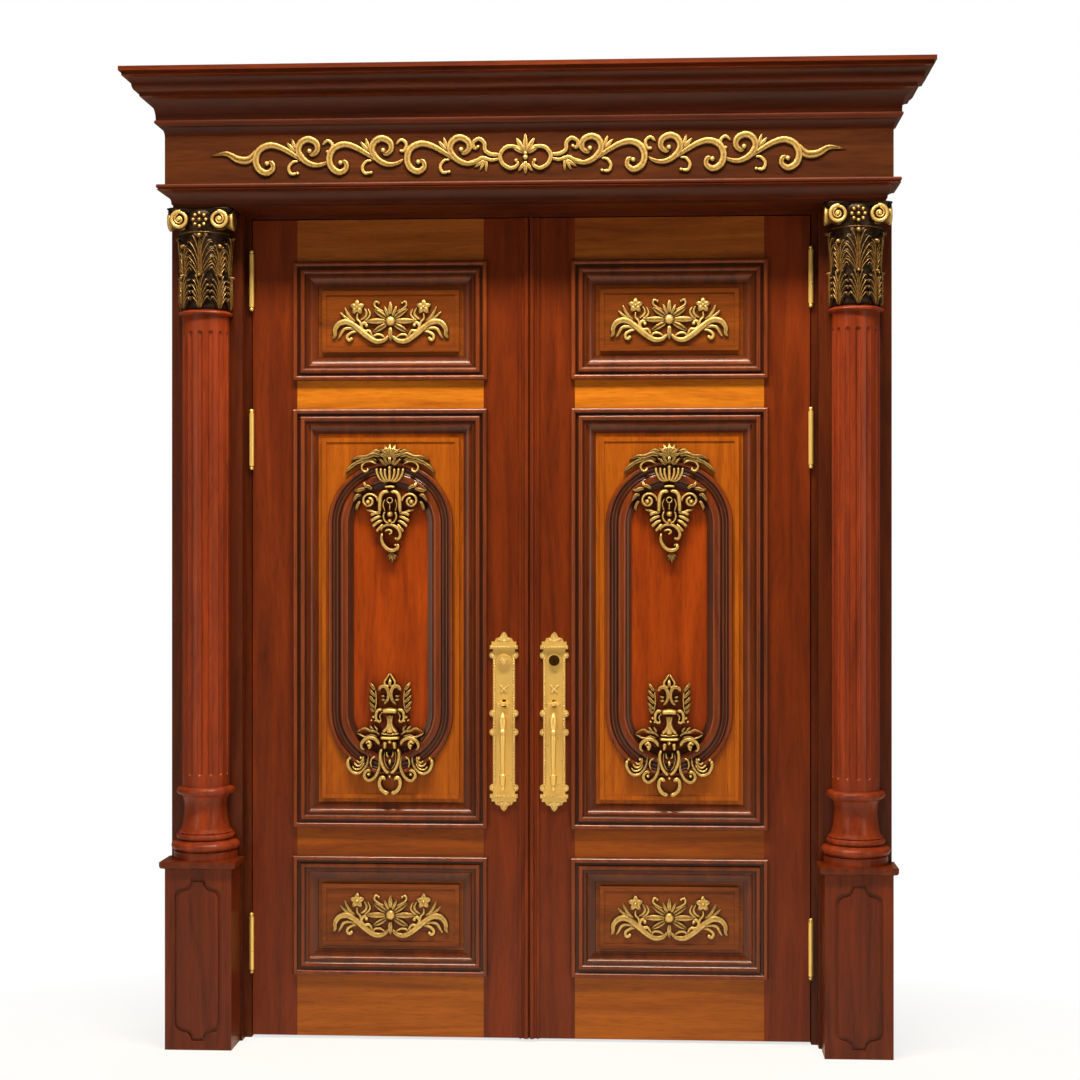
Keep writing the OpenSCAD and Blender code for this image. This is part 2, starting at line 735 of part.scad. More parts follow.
// A stroke through path points with a half width at each, standing on z = 0
module stroke(path, widths, rise_h) {
    last = len(path) - 1;
    widest = max(widths);
    rings = [for (i = [0 : last])
        let (t = path[min(i + 1, last)] - path[max(i - 1, 0)],
            side = [-t.y, t.x] / norm(t) * widths[i],
            up = rise_h * (edge_rise_share + (1 - edge_rise_share) * widths[i] / widest))
        [for (s = [[1, 0], [0, 1], [-1, 0]])
            [path[i].x + s.x * side.x, path[i].y + s.x * side.y, s.y * up]]];
    walls = [for (i = [0 : last - 1], k = [0 : 2])
        let (a = 3 * i + k, b = 3 * i + (k + 1) % 3)
        each [[a, b + 3, b], [a, a + 3, b + 3]]];
    end = 3 * last;
    polyhedron([for (ring = rings) each ring],
        concat([[0, 1, 2]], walls, [[end + 2, end + 1, end]]), convexity = 4);
}

// Table rows hold shares of the ornament's unit: curve rows four points and
// three half widths, spiral rows middle, radii, angles and two half widths
module curves(rows, unit, rise_h) for (row = rows)
    stroke([for (i = [0 : stroke_steps]) unit * curve_at(row[0], i / stroke_steps)],
        [for (i = [0 : stroke_steps]) unit * swell_at(row[1], i / stroke_steps)], rise_h * row[2]);

module spirals(rows, unit, rise_h) for (row = rows)
    stroke([for (i = [0 : spiral_steps]) unit * spiral_at(row, i / spiral_steps)],
        [for (i = [0 : spiral_steps]) unit * (row[3][0] + (row[3][1] - row[3][0]) * i / spiral_steps)],
        rise_h * row[4]);

// Petal rows: foot, length, width, direction and rise
petal_belly_share = 0.55;

module petals(rows, unit, rise_h) for (row = rows) {
    l = unit * row[1];
    half = unit * row[2] / 2;
    belly = petal_belly_share * l;
    translate(unit * row[0]) rotate([0, 0, row[3]])
        polyhedron([[0, 0, 0], [belly, -half, 0], [l, 0, 0], [belly, half, 0], [belly, 0, rise_h * row[4]]],
            [[0, 1, 2], [0, 2, 3], [1, 0, 4], [2, 1, 4], [3, 2, 4], [0, 3, 4]]);
}

// Bead rows: middle, radius and rise
module beads(rows, unit, rise_h) for (row = rows) translate(unit * row[0]) hull()
    cylinder(h = rise_h * row[2], r1 = unit * row[1], r2 = unit * row[1] / 2, $fn = 6);

// Flower spray, right half, in shares of its half width
spray_curve_shares = [
    [[[0.04, -0.25], [0.2, -0.42], [0.42, -0.35], [0.6, -0.12]], [0.03, 0.06, 0.04], 0.7],
    [[[0.54, -0.2], [0.66, 0.08], [0.99, 0.02], [0.95, -0.32]], [0.03, 0.09, 0.008], 0.8],
    [[[0.56, -0.06], [0.68, 0.08], [0.78, 0.12], [0.84, 0.26]], [0.02, 0.07, 0.008], 0.6]];
spray_spiral_shares = [[[0.42, -0.1], [0.12, 0.04], [120, 400], [0.035, 0.03], 0.7]];
spray_petal_shares = [
    [[0.05, 0.03], 0.32, 0.14, 30, 0.85], [[0.05, -0.03], 0.32, 0.14, -30, 0.85],
    [[0.05, 0], 0.33, 0.1, 0, 0.7]];
spray_mid_bead_shares = [[[0, 0], 0.11, 1]];
spray_mid_shares = [[[0, 0.05], 0.28, 0.1, 90, 0.75], [[0, -0.05], 0.3, 0.11, -90, 0.75]];
spray_bead_shares = [[[0.68, -0.3], 0.06, 0.65], [[0.58, 0.2], 0.11, 0.8]];

spray_tall_share = 0.904;

module flower_spray() {
    unit = open_w / 2 - spray_side_gap;
    scale([1, small_field_h / (spray_tall_share * unit), 1]) {
        both_sides() {
            curves(spray_curve_shares, unit, spray_relief);
            spirals(spray_spiral_shares, unit, spray_relief);
            petals(spray_petal_shares, unit, spray_relief);
            beads(spray_bead_shares, unit, spray_relief);
        }
        petals(spray_mid_shares, unit, spray_relief);
        beads(spray_mid_bead_shares, unit, spray_relief);
    }
}

module flower_sprays() color(gilt) for (y = [low_panel_y, high_panel_y])
    translate([leaf_mid_x, y + small_panel_h / 2, field_front]) flower_spray();

// Crest and pendant rise from the floor inside the oval, over its ring, onto the field outside
ground = field_front - oval_sink;
carving_h = crest_relief + oval_sink;
oval_ovolo_share = 0.7;

module over_ring() difference() {
    translate([0, 0, ground]) children();
    translate([leaf_mid_x, main_mid_y, ground - overrun]) {
        linear_extrude(oval_sink + overrun) difference() {
            square([open_w, main_panel_h], center = true);
            stadium(oval_w - 2 * oval_ring_w - 2 * seat_fit, oval_h - 2 * oval_ring_w - 2 * seat_fit);
        }
        linear_extrude(oval_sink + oval_proud + overrun + seat_fit) difference() {
            stadium(oval_w + 4 * seat_fit, oval_h + 4 * seat_fit);
            stadium(oval_w - oval_ring_w / 2, oval_h - oval_ring_w / 2);
        }
        linear_extrude(oval_sink + oval_ovolo_share * oval_proud + overrun + seat_fit) difference() {
            stadium(oval_w, oval_h);
            stadium(oval_w - 2 * oval_ring_w - 2 * seat_fit, oval_h - 2 * oval_ring_w - 2 * seat_fit);
        }
    }
}

// Crest, right half, in shares of its half width, with its origin on the cartouche
crest_origin_share = 1.28;
crest_tall_share = 2.96;
crest_h_share = 0.61;
crest_curve_shares = [
    [[[0.08, 0.8], [0.45, 1.1], [0.86, 1.1], [1.0, 0.56]], [0.06, 0.18, 0.015], 0.85],
    [[[0.14, 0.24], [0.2, 0.48], [0.32, 0.58], [0.3, 0.8]], [0.06, 0.1, 0.05], 0.85],
    [[[0.2, -0.1], [0.34, 0.2], [0.52, 0.16], [0.62, 0.36]], [0.06, 0.1, 0.015], 0.7],
    [[[0.5, 0.02], [0.62, 0.12], [0.74, 0.06], [0.88, 0.18]], [0.04, 0.1, 0.015], 0.7],
    [[[0, -0.6], [0.16, -0.66], [0.3, -0.5], [0.43, -0.5]], [0.07, 0.1, 0.03], 0.7],
    [[[0, -0.82], [0.16, -0.88], [0.28, -0.74], [0.38, -0.74]], [0.07, 0.1, 0.03], 0.7]];
crest_spiral_shares = [
    [[0.64, 0.64], [0.2, 0.07], [130, -110], [0.06, 0.045], 0.6],
    [[0.48, -0.16], [0.25, 0.09], [200, -170], [0.085, 0.06], 0.9],
    [[0, -1.18], [0.24, 0.2], [90, -84], [0.055, 0.06], 0.75]];
crest_mid_petal_shares = [
    [[0, 0.72], 0.53, 0.2, 90, 0.95], [[0, 0.2], 0.62, 0.36, 90, 1], [[0, -1.32], 0.36, 0.18, -90, 0.6],
    [[0, 0.76], 0.47, 0.18, 64, 0.85], [[0, 0.76], 0.47, 0.18, 116, 0.85]];
crest_bead_shares = [[[0.48, -0.16], 0.1, 1]];
crest_mid_bead_shares = [
    [[0, 0.16], 0.16, 0.85], [[0, -0.16], 0.26, 0.8], [[0, -0.45], 0.09, 0.9], [[0, -0.9], 0.09, 0.7]];

module crest_carving(unit) {
    both_sides() {
        curves(crest_curve_shares, unit, carving_h);
        spirals(crest_spiral_shares, unit, carving_h);
        beads(crest_bead_shares, unit, carving_h);
    }
    petals(crest_mid_petal_shares, unit, carving_h);
    beads(crest_mid_bead_shares, unit, carving_h);
}

module crest() color(gilt) {
    unit = oval_w / 2 - crest_side_gap;
    tall = crest_h_share * oval_mean / crest_tall_share;
    field_top = main_panel_y + main_panel_h - raise_margin - border_w;
    over_ring() translate([leaf_mid_x, field_top - crest_origin_share * tall, 0])
        scale([1, tall / unit, 1]) crest_carving(unit);
}

// Pendant, right half, in shares of its half width, with its origin at the urn's foot
pendant_origin_share = 1.42;
pendant_tall_share = 2.84;
pendant_h_share = 0.6;
pendant_curve_shares = [
    [[[0.1, 0.56], [0.02, 0.84], [0.08, 1.14], [0.3, 1.08]], [0.05, 0.08, 0.03], 0.75],
    [[[0.33, 0.4], [0.36, 0.7], [0.32, 0.96], [0.53, 1.24]], [0.03, 0.06, 0.015], 0.6],
    [[[0.06, 0.56], [0.06, 0.36], [0.12, 0.2], [0.2, -0.02]], [0.05, 0.06, 0.06], 0.9],
    [[[0.16, 0.02], [0.44, 0.22], [0.66, 0.12], [0.84, 0.04]], [0.05, 0.085, 0.01], 0.7],
    [[[0.16, -0.16], [0.26, -0.5], [0.24, -0.74], [0.01, -0.94]], [0.06, 0.07, 0.04], 0.85],
    [[[0.1, -0.96], [0.38, -1.1], [0.22, -1.34], [0.01, -1.36]], [0.06, 0.08, 0.04], 0.75]];
pendant_spiral_shares = [
    [[0.48, -0.24], [0.23, 0.08], [190, -150], [0.085, 0.06], 0.9],
    [[0.7, -0.68], [0.22, 0.14], [170, -70], [0.1, 0.08], 0.75],
    [[0.5, -0.96], [0.17, 0.06], [170, 440], [0.06, 0.05], 0.75]];
pendant_mid_petal_shares = [[[0, -0.04], 0.62, 0.26, 90, 1], [[0, 0.94], 0.52, 0.26, 90, 0.7]];
pendant_leaf_shares = [[[0.35, 0.74], 0.38, 0.12, 52, 0.6], [[0.34, 0.54], 0.36, 0.12, 50, 0.6]];
pendant_bead_shares = [[[0.44, 0.4], 0.085, 0.75], [[0.48, -0.24], 0.1, 1]];
pendant_mid_bead_shares = [[[0, 0.6], 0.17, 0.9], [[0, -0.1], 0.22, 0.85]];

module pendant_carving(unit) {
    both_sides() {
        curves(pendant_curve_shares, unit, carving_h);
        spirals(pendant_spiral_shares, unit, carving_h);
        petals(pendant_leaf_shares, unit, carving_h);
        beads(pendant_bead_shares, unit, carving_h);
    }
    petals(pendant_mid_petal_shares, unit, carving_h);
    beads(pendant_mid_bead_shares, unit, carving_h);
}

module pendant() color(gilt) {
    unit = oval_w / 2 - pendant_side_gap;
    tall = pendant_h_share * oval_mean / pendant_tall_share;
    field_foot = main_panel_y + raise_margin + border_w;
    over_ring() translate([leaf_mid_x, field_foot + pendant_origin_share * tall, 0])
        scale([1, tall / unit, 1]) pendant_carving(unit);
}

// Frieze scroll, right half, in shares of its height
scroll_cells_share = [1.8, 3.65, 5.5];
scroll_cell_shares = [
    [[[-0.76, -0.3], [-0.3, -0.56], [0.1, 0.52], [0.66, 0.4]], [0.05, 0.085, 0.05], 0.7]];
scroll_spiral_shares = [
    [[0, 0.19], [0.27, 0.08], [215, -110], [0.065, 0.05], 0.85],
    [[0.93, -0.19], [0.27, 0.08], [145, 470], [0.065, 0.05], 0.85]];
scroll_petal_shares = [[[0.36, 0.1], 0.42, 0.18, 70, 0.6]];
scroll_bead_shares = [[[0, 0.19], 0.1, 0.9], [[0.93, -0.19], 0.1, 0.9]];
scroll_tail_shares = [
    [[[6.5, -0.12], [6.9, 0.4], [7.3, 0.1], [7.93, -0.3]], [0.05, 0.15, 0.012], 0.75],
    [[[6.5, -0.25], [6.95, -0.5], [7.2, -0.3], [7.5, -0.34]], [0.04, 0.09, 0.012], 0.65]];
scroll_heart_shares = [
    [[[0.02, -0.4], [0.5, -0.56], [0.7, 0.02], [1.14, -0.26]], [0.06, 0.08, 0.04], 0.7],
    [[[0.58, 0.14], [0.86, 0.26], [0.98, 0.44], [1.22, 0.34]], [0.03, 0.075, 0.03], 0.6]];
scroll_ring_shares = [[[0.4, -0.02], [0.27, 0.25], [-130, 150], [0.06, 0.055], 0.85]];
scroll_mid_petal_shares = [[[0, 0.06], 0.42, 0.18, 90, 0.85], [[0, 0.06], 0.42, 0.18, 45, 0.85],
    [[0, 0.06], 0.42, 0.18, 135, 0.85], [[0, -0.16], 0.32, 0.14, -90, 0.7]];
scroll_mid_bead_shares = [[[0, -0.04], 0.1, 1]];

module frieze_scroll() color(gilt) translate([0, frieze_y + frieze_h / 2, frieze_d]) {
    both_sides() {
        for (x = scroll_cells_share) translate([x * scroll_h, 0, 0]) {
            curves(scroll_cell_shares, scroll_h, scroll_relief);
            spirals(scroll_spiral_shares, scroll_h, scroll_relief);
            petals(scroll_petal_shares, scroll_h, scroll_relief);
            beads(scroll_bead_shares, scroll_h, scroll_relief);
        }
        curves(scroll_tail_shares, scroll_h, scroll_relief);
        curves(scroll_heart_shares, scroll_h, scroll_relief);
        spirals(scroll_ring_shares, scroll_h, scroll_relief);
    }
    petals(scroll_mid_petal_shares, scroll_h, scroll_relief);
    beads(scroll_mid_bead_shares, scroll_h, scroll_relief);
}

// Capital: bell, two tiers of leaves, egg band, volutes and rosette

bell_low_r = 62;
bell_high_r = 74;
bell_waist_share = 0.5;
leaf_lift = 12;
volute_r = 27;
volute_x = 56;
roll_share = 0.9;
abacus_h = 14;
rosette_r = 26;
rosette_petal_shares = [0.6, 0.38, 0.3];
rosette_core_share = 0.7;
egg_r = 7;
volute_y = capital_h - abacus_h / 2 - volute_r;
egg_y = volute_y - volute_r - egg_r;

// Tiers of leaves: foot and height as shares of the capital's height
low_tier_share = [0, 0.36];
high_tier_share = [0.27, 0.44];
low_curl = 14;
high_curl = 20;

// A bell leaf bends round the bell, swells in the middle and curls at its tip
leaf_rows = 3;
leaf_cols = 2;
leaf_inside_share = -0.2;
function leaf_spread(t) = 0.72 + 0.42 * sin(180 * t) - 0.5 * pow(t, 5);
function bell_point(angle, y, r) = [r * sin(angle), y, r * cos(angle)];

module bell_leaf(angle, tier, spread, curl) {
    function grid(lift) = [for (i = [0 : leaf_rows]) let (t = i / leaf_rows)
        [for (j = [0 : leaf_cols]) let (u = 2 * j / leaf_cols - 1, lobe = 1 - abs(u) / 2)
            bell_point(angle + u * spread * leaf_spread(t),
                capital_h * (tier[0] + tier[1] * (t - u * u * t / 8)),
                bell_low_r - overrun + lift * (leaf_lift * (1 + lobe) * (2 - u * u) / 4
                    + curl * pow(t, 4) * (1 - u * u)))]];
    sheet_between(grid(1), grid(leaf_inside_share));
}

module capital() color(gilt) translate([column_x, capital_y, column_d]) intersection() {
    union() {
        turned($fn = 12) polygon([[0, 0], [bell_low_r, 0], [bell_low_r, bell_waist_share * capital_h],
            [bell_high_r, capital_h - abacus_h], [0, capital_h - abacus_h]]);
        for (a = [-45, 0, 45]) bell_leaf(a, low_tier_share, 24, low_curl);
        for (a = [-74, 0, 74]) bell_leaf(a, high_tier_share, 34, high_curl);
        for (a = [-30 : 30 : 30]) rotate([0, a, 0]) translate([0, egg_y, bell_high_r - egg_r / 2]) hull() {
            sphere(egg_r, $fn = 6);
            translate([0, -egg_r, 0]) sphere(egg_r / 2, $fn = 6);
        }
        both_sides() translate([volute_x, volute_y, 0]) {
            cylinder(h = bell_high_r + leaf_lift, r = volute_r, $fn = 12);
            cylinder(h = bell_high_r + 3 * leaf_lift / 2, r = volute_r / 3, $fn = 6);
            translate([0, 0, bell_high_r - volute_r]) rotate([0, 90, 0])
                cylinder(h = pedestal_w / 2 - volute_x, r = roll_share * volute_r, $fn = 12);
        }
        translate([0, volute_y, 0])
            cylinder(h = bell_high_r + leaf_lift, r = rosette_core_share * rosette_r, $fn = 8);
        for (i = [0 : 5]) translate([0, volute_y, bell_high_r - leaf_lift]) rotate([0, 0, i * 60])
            translate([rosette_petal_shares[0] * rosette_r, 0, 0]) hull()
                cylinder(h = 2.5 * leaf_lift, r1 = rosette_petal_shares[1] * rosette_r,
                    r2 = rosette_petal_shares[2] * rosette_r, $fn = 6);
        box([-pedestal_w / 2, capital_h - abacus_h, -column_out],
            [pedestal_w / 2, capital_h, bell_high_r + leaf_lift / 2]);
    }
    box([-pedestal_w / 2, 0, -column_out], [pedestal_w / 2, capital_h, pedestal_w / 2]);
}

// Handle set

// Plate outline pieces: low, high, width share and thickness share
plate_bar_shares = [[0.055, 0.075, 1.12, 1.8], [0.075, 0.095, 1.26, 2.2], [0.905, 0.925, 1.26, 2.2],
    [0.925, 0.945, 1.12, 1.8]];
plate_ear_shares = [0.13, 0.44, 0.545, 0.87];
plate_ear_r_share = 0.16;
plate_frame_share = 0.12;
plate_field_t = plate_t * 0.6;

module crown_area(up) polygon([for (p = [[-0.5, 0], [0.5, 0], [0.42, 0.35], [0.22, 0.42], [0.12, 0.8], [0, 1],
    [-0.12, 0.8], [-0.22, 0.42], [-0.42, 0.35]]) [p.x * plate_w * 0.85, p.y * up]]);

module handle_plate(keyed) color(brass) translate([handle_x, plate_y, 0]) difference() {
    union() {
        low = plate_bar_shares[0][0] * plate_h;
        high = plate_bar_shares[3][1] * plate_h;
        difference() {
            box([-plate_w / 2, low, 0], [plate_w / 2, high, plate_t]);
            box([plate_w * (plate_frame_share - 0.5), low + plate_w / 2, plate_field_t],
                [plate_w * (0.5 - plate_frame_share), high - plate_w / 2, plate_t + overrun]);
        }
        for (bar = plate_bar_shares)
            box([-plate_w * bar[2] / 2, bar[0] * plate_h, 0],
                [plate_w * bar[2] / 2, bar[1] * plate_h, plate_t * bar[3]]);
        for (y = plate_ear_shares, s = [-1, 1])
            translate([s * plate_w / 2, y * plate_h, 0])
                cylinder(h = plate_t, r = plate_ear_r_share * plate_w);
        translate([0, high, 0]) linear_extrude(plate_t * 1.3) crown_area(plate_h - high);
        translate([0, low, 0]) mirror([0, 1, 0]) linear_extrude(plate_t * 1.3) crown_area(low);
        for (s = [-1, 1]) translate([s * (thumb_w + cheek_w + 2 * knuckle_gap) / 2, thumb_up, 0])
            box([-cheek_w / 2, -cheek_w, 0], [cheek_w / 2, cheek_w, pivot_d + cheek_w]);
        translate([0, thumb_up + cylinder_up, 0]) cylinder(h = plate_t * 1.5, r = cylinder_r + plate_t * 0.8);
        if (!keyed) translate([0, thumb_up + cylinder_up, 0]) cylinder(h = plate_t * 2.2, r = cylinder_r);
    }
    if (keyed) translate([0, thumb_up + cylinder_up, -overrun])
        cylinder(h = plate_t * 2, r = cylinder_r + seat_fit);
    box([-thumb_w / 2 - knuckle_gap, thumb_up - thumb_slot_h / 2, -overrun],
        [thumb_w / 2 + knuckle_gap, thumb_up + thumb_slot_h / 2, plate_t + overrun]);
    translate([-thumb_w, thumb_up, pivot_d]) rotate([0, 90, 0])
        cylinder(h = 2 * thumb_w, r = pivot_r + pin_fit);
}

// Thumb piece: pad in front, tail into the stile, on a cross pin
module thumb_piece() color(brass) translate([handle_x, thumb_z, 0]) {
    translate([-thumb_w / 2 - cheek_w, 0, pivot_d]) rotate([0, 90, 0])
        cylinder(h = thumb_w + 2 * cheek_w, r = pivot_r);
    box([-thumb_w / 2, -thumb_pad_t / 2, -thumb_tail + pivot_d], [thumb_w / 2, thumb_pad_t / 2, thumb_reach]);
    translate([-thumb_w / 2, 0, pivot_d]) rotate([0, 90, 0]) cylinder(h = thumb_w, r = pivot_r * 1.8);
    for (s = [-1, 1]) translate([s * thumb_pad_w / 4, thumb_pad_t / 2, thumb_reach - thumb_pad_w / 4])
        rotate([90, 0, 0]) cylinder(h = thumb_pad_t, r = thumb_pad_w / 4);
    translate([0, thumb_pad_t / 2, thumb_reach]) rotate([90, 0, 0])
        cylinder(h = thumb_pad_t, r = thumb_pad_w / 5);
}

// Grip: turned baluster with an egg at its top, on two posts, in shares of
// the thumb piece's height over the plate's foot and of the grip's radius
grip_turn_shares = [[0, 0.2], [0.55, 0.21], [0.7, 0.24], [0.55, 0.257], [0.95, 0.275], [0.95, 0.32],
    [1.1, 0.33], [1.1, 0.35], [0.66, 0.36], [0.62, 0.42], [0.95, 0.68], [0.75, 0.73], [1.1, 0.74],
    [1.1, 0.76], [0.85, 0.77], [1.25, 0.81], [1.32, 0.84], [1.1, 0.89], [0.5, 0.92], [0, 0.93]];
grip_post_shares = [0.297, 0.826];

module grip() color(brass) translate([handle_x, plate_y, 0]) {
    translate([0, 0, grip_out]) turned()
        polygon([for (s = grip_turn_shares) [s.x * grip_r, s.y * thumb_up]]);
    for (s = grip_post_shares) translate([0, s * thumb_up, plate_field_t]) {
        cylinder(h = grip_out - plate_field_t, r = post_r);
        cylinder(h = plate_t, r = post_r * 1.5);
    }
}

// Inner side of the right leaf, and the dummy set on the left one
inner_low = thumb_z - inner_plate_over;
inner_high = inner_low + inner_plate_h;

module inner_plate_blank() box([handle_x - plate_w / 2, inner_low, -leaf_t - inner_plate_t],
    [handle_x + plate_w / 2, inner_high, -leaf_t]);

module lever_arm() {
    cylinder(h = lever_out - hub_r, r = hub_r);
    translate([0, 0, lever_out - hub_r]) rotate([0, 90, 0]) cylinder(h = lever_l, r = hub_r * 0.8);
    translate([lever_l, 0, lever_out - hub_r]) sphere(hub_r * 0.95);
    translate([0, 0, lever_out - hub_r]) sphere(hub_r * 1.2);
}

module inner_side(d) translate([handle_x, thumb_z, d]) mirror([0, 0, 1]) children();

module right_inner_plate() color(brass) difference() {
    inner_plate_blank();
    inner_side(-leaf_t) translate([0, 0, -overrun]) {
        cylinder(h = inner_plate_t + 2 * overrun, r = hub_r + pin_fit);
        translate([0, cylinder_up, 0]) cylinder(h = inner_plate_t + 2 * overrun, r = turn_hub_r + pin_fit);
    }
}

module right_inner_lever() color(brass) inner_side(-leaf_t - knuckle_gap) lever_arm();

module right_thumb_turn() color(brass) inner_side(-leaf_t - knuckle_gap) translate([0, cylinder_up, 0]) {
    cylinder(h = turn_out / 2, r = turn_hub_r);
    box([-turn_hub_r / 3, -2 * turn_hub_r, inner_plate_t + turn_stand],
        [turn_hub_r / 3, 2 * turn_hub_r, inner_plate_t + turn_stand + turn_out]);
}

module left_inner_handle() color(brass) {
    inner_plate_blank();
    inner_side(-leaf_t) lever_arm();
    inner_side(-leaf_t) translate([0, cylinder_up, 0]) cylinder(h = 2 * inner_plate_t, r = cylinder_r);
}

// Lock in the right leaf's meeting edge
case_low = thumb_z - case_below;
case_high = thumb_z + cylinder_up + case_above;
latch_y = thumb_z - latch_h;
dead_y = thumb_z + cylinder_up - dead_down;

// A bolt's room, from its front face back
module bolt_room(x0, l, y, h, fit) box([x0, y - h / 2 - fit, panel_mid - bolt_t / 2 - fit],
    [x0 + l, y + h / 2 + fit, panel_mid + bolt_t / 2 + fit]);

// The face plate of the lock, and of the strike across from it
module forend_plate() box([forend_x, case_low, panel_mid - forend_w / 2],
    [forend_x + forend_t, case_high, panel_mid + forend_w / 2]);

module lock_case() color(steel) difference() {
    union() {
        forend_plate();
        box([forend_x + forend_t, case_low + forend_t, panel_mid - case_t / 2],
            [forend_x + case_l, case_high - forend_t, panel_mid + case_t / 2]);
    }
    bolt_room(forend_x - overrun, latch_l + 2 * overrun, latch_y, latch_h, slide_fit);
    bolt_room(forend_x - overrun, dead_l + 2 * overrun, dead_y, dead_h, slide_fit);
}

module latch_bolt() color(steel) bolt_room(forend_x, latch_l, latch_y, latch_h, 0);

module dead_bolt() color(steel) bolt_room(forend_x, dead_l, dead_y, dead_h, 0);

module key_cylinder() color(dark_wood) translate([handle_x, thumb_z + cylinder_up, 0]) difference() {
    translate([0, 0, panel_mid + case_t / 2 + seat_fit])
        cylinder(h = plate_t * 2.2 - panel_mid - case_t / 2 - seat_fit, r = cylinder_r);
    box([-pivot_r / 2, -cylinder_r / 2, plate_t], [pivot_r / 2, cylinder_r / 2, plate_t * 3]);
}

// Cuts for the lock and the handle set in the right lock stile
module right_lock_stile() color(wood) difference() {
    lock_stile_blank();
    box([-overrun, case_low - seat_fit, panel_mid - forend_w / 2 - seat_fit],
        [forend_x + forend_t, case_high + seat_fit, panel_mid + forend_w / 2 + seat_fit]);
    box([-overrun, case_low, panel_mid - case_t / 2 - seat_fit],
        [forend_x + case_l + seat_fit, case_high, panel_mid + case_t / 2 + seat_fit]);
    thumb_room();
    translate([handle_x, thumb_z + cylinder_up, panel_mid]) cylinder(h = leaf_t, r = cylinder_r + seat_fit);
}

// Room for a thumb piece's tail behind its plate
module thumb_room() box([handle_x - thumb_w / 2 - overrun, thumb_z - thumb_slot_h / 2, panel_mid],
    [handle_x + thumb_w / 2 + overrun, thumb_z + thumb_slot_h / 2, overrun]);

// Strike plate and bolt rooms in the left leaf's meeting edge, drawn on the right-hand side
module strike_plate() color(steel) difference() {
    forend_plate();
    bolt_room(forend_x - overrun, forend_t + 2 * overrun, latch_y, latch_h, 2 * slide_fit);
    bolt_room(forend_x - overrun, forend_t + 2 * overrun, dead_y, dead_h, 2 * slide_fit);
}

flush_low_y = floor_gap + seat_fit;
flush_high_y = leaf_top - seat_fit - flush_l;

module flush_room(low_y) {
    translate([flush_x, low_y - flush_throw, panel_mid]) rotate([-90, 0, 0])
        cylinder(h = flush_l + 2 * flush_throw, r = flush_r + slide_fit);
    tab_y = low_y + flush_l * flush_tab_share;
    tab_half = flush_throw + 2 * flush_tab_r;
    box([-overrun, tab_y - tab_half, panel_mid - flush_tab_r - slide_fit],
        [flush_x, tab_y + tab_half, panel_mid + flush_tab_r + slide_fit]);
}

module flush_bolt(low_y) color(steel) {
    translate([flush_x, low_y, panel_mid]) rotate([-90, 0, 0]) cylinder(h = flush_l, r = flush_r);
    translate([forend_x, low_y + flush_l * flush_tab_share, panel_mid]) rotate([0, 90, 0])
        cylinder(h = flush_x - forend_x, r = flush_tab_r);
}

module left_lock_stile() color(wood) difference() {
    lock_stile_blank();
    box([-overrun, case_low - seat_fit, panel_mid - forend_w / 2 - seat_fit],
        [forend_x + forend_t, case_high + seat_fit, panel_mid + forend_w / 2 + seat_fit]);
    bolt_room(forend_x, 2 * latch_throw, latch_y, latch_h, 2 * slide_fit);
    bolt_room(forend_x, 2 * dead_throw, dead_y, dead_h, 2 * slide_fit);
    thumb_room();
    flush_room(flush_low_y);
    flush_room(flush_high_y);
}

// Frame
stand() left_side() jamb();  // left_jamb
stand() jamb();  // right_jamb
stand() head_jamb();
stand() left_side() pilaster_board();  // left_pilaster_board
stand() pilaster_board();  // right_pilaster_board
stand() left_side() pedestal();  // left_pedestal
stand() pedestal();  // right_pedestal
stand() left_side() column_base();  // left_column_base
stand() column_base();  // right_column_base
stand() left_side() column_shaft();  // left_column_shaft
stand() column_shaft();  // right_column_shaft
stand() left_side() capital();  // left_capital
stand() capital();  // right_capital
stand() architrave();
stand() frieze_board();
stand() cornice();
stand() frieze_scroll();
stand() hinge_jamb_plates();
stand() hinge_pins();
// Left leaf
stand() left_side() hinge_stile();  // left_hinge_stile
stand() left_side() left_lock_stile();
stand() left_side() rails();  // left_rails
stand() left_side() small_panels();  // left_small_panels
stand() left_side() main_panel();  // left_main_panel
stand() left_side() small_mouldings();  // left_small_mouldings
stand() left_side() main_moulding();  // left_main_moulding
stand() left_side() oval_moulding();  // left_oval_moulding
stand() left_side() flower_sprays();  // left_flower_sprays
stand() left_side() crest();  // left_crest
stand() left_side() pendant();  // left_pendant
stand() left_side() hinge_leaf_plates();  // left_hinge_plates
stand() left_side() handle_plate(false);  // left_handle_plate
stand() left_side() grip();  // left_grip
stand() left_side() thumb_piece();  // left_thumb_piece
stand() left_side() left_inner_handle();
stand() left_side() strike_plate();
stand() left_side() flush_bolt(flush_high_y);  // top_flush_bolt
stand() left_side() flush_bolt(flush_low_y);  // bottom_flush_bolt
// Right leaf
stand() hinge_stile();  // right_hinge_stile
stand() right_lock_stile();
stand() rails();  // right_rails
stand() small_panels();  // right_small_panels
stand() main_panel();  // right_main_panel
stand() small_mouldings();  // right_small_mouldings
stand() main_moulding();  // right_main_moulding
stand() oval_moulding();  // right_oval_moulding
stand() flower_sprays();  // right_flower_sprays
stand() crest();  // right_crest
stand() pendant();  // right_pendant
stand() hinge_leaf_plates();  // right_hinge_plates
stand() handle_plate(true);  // right_handle_plate
stand() grip();  // right_grip
stand() thumb_piece();  // right_thumb_piece
stand() right_inner_plate();
stand() right_inner_lever();
stand() right_thumb_turn();
stand() key_cylinder();
stand() lock_case();
stand() latch_bolt();
stand() dead_bolt();
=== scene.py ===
import math

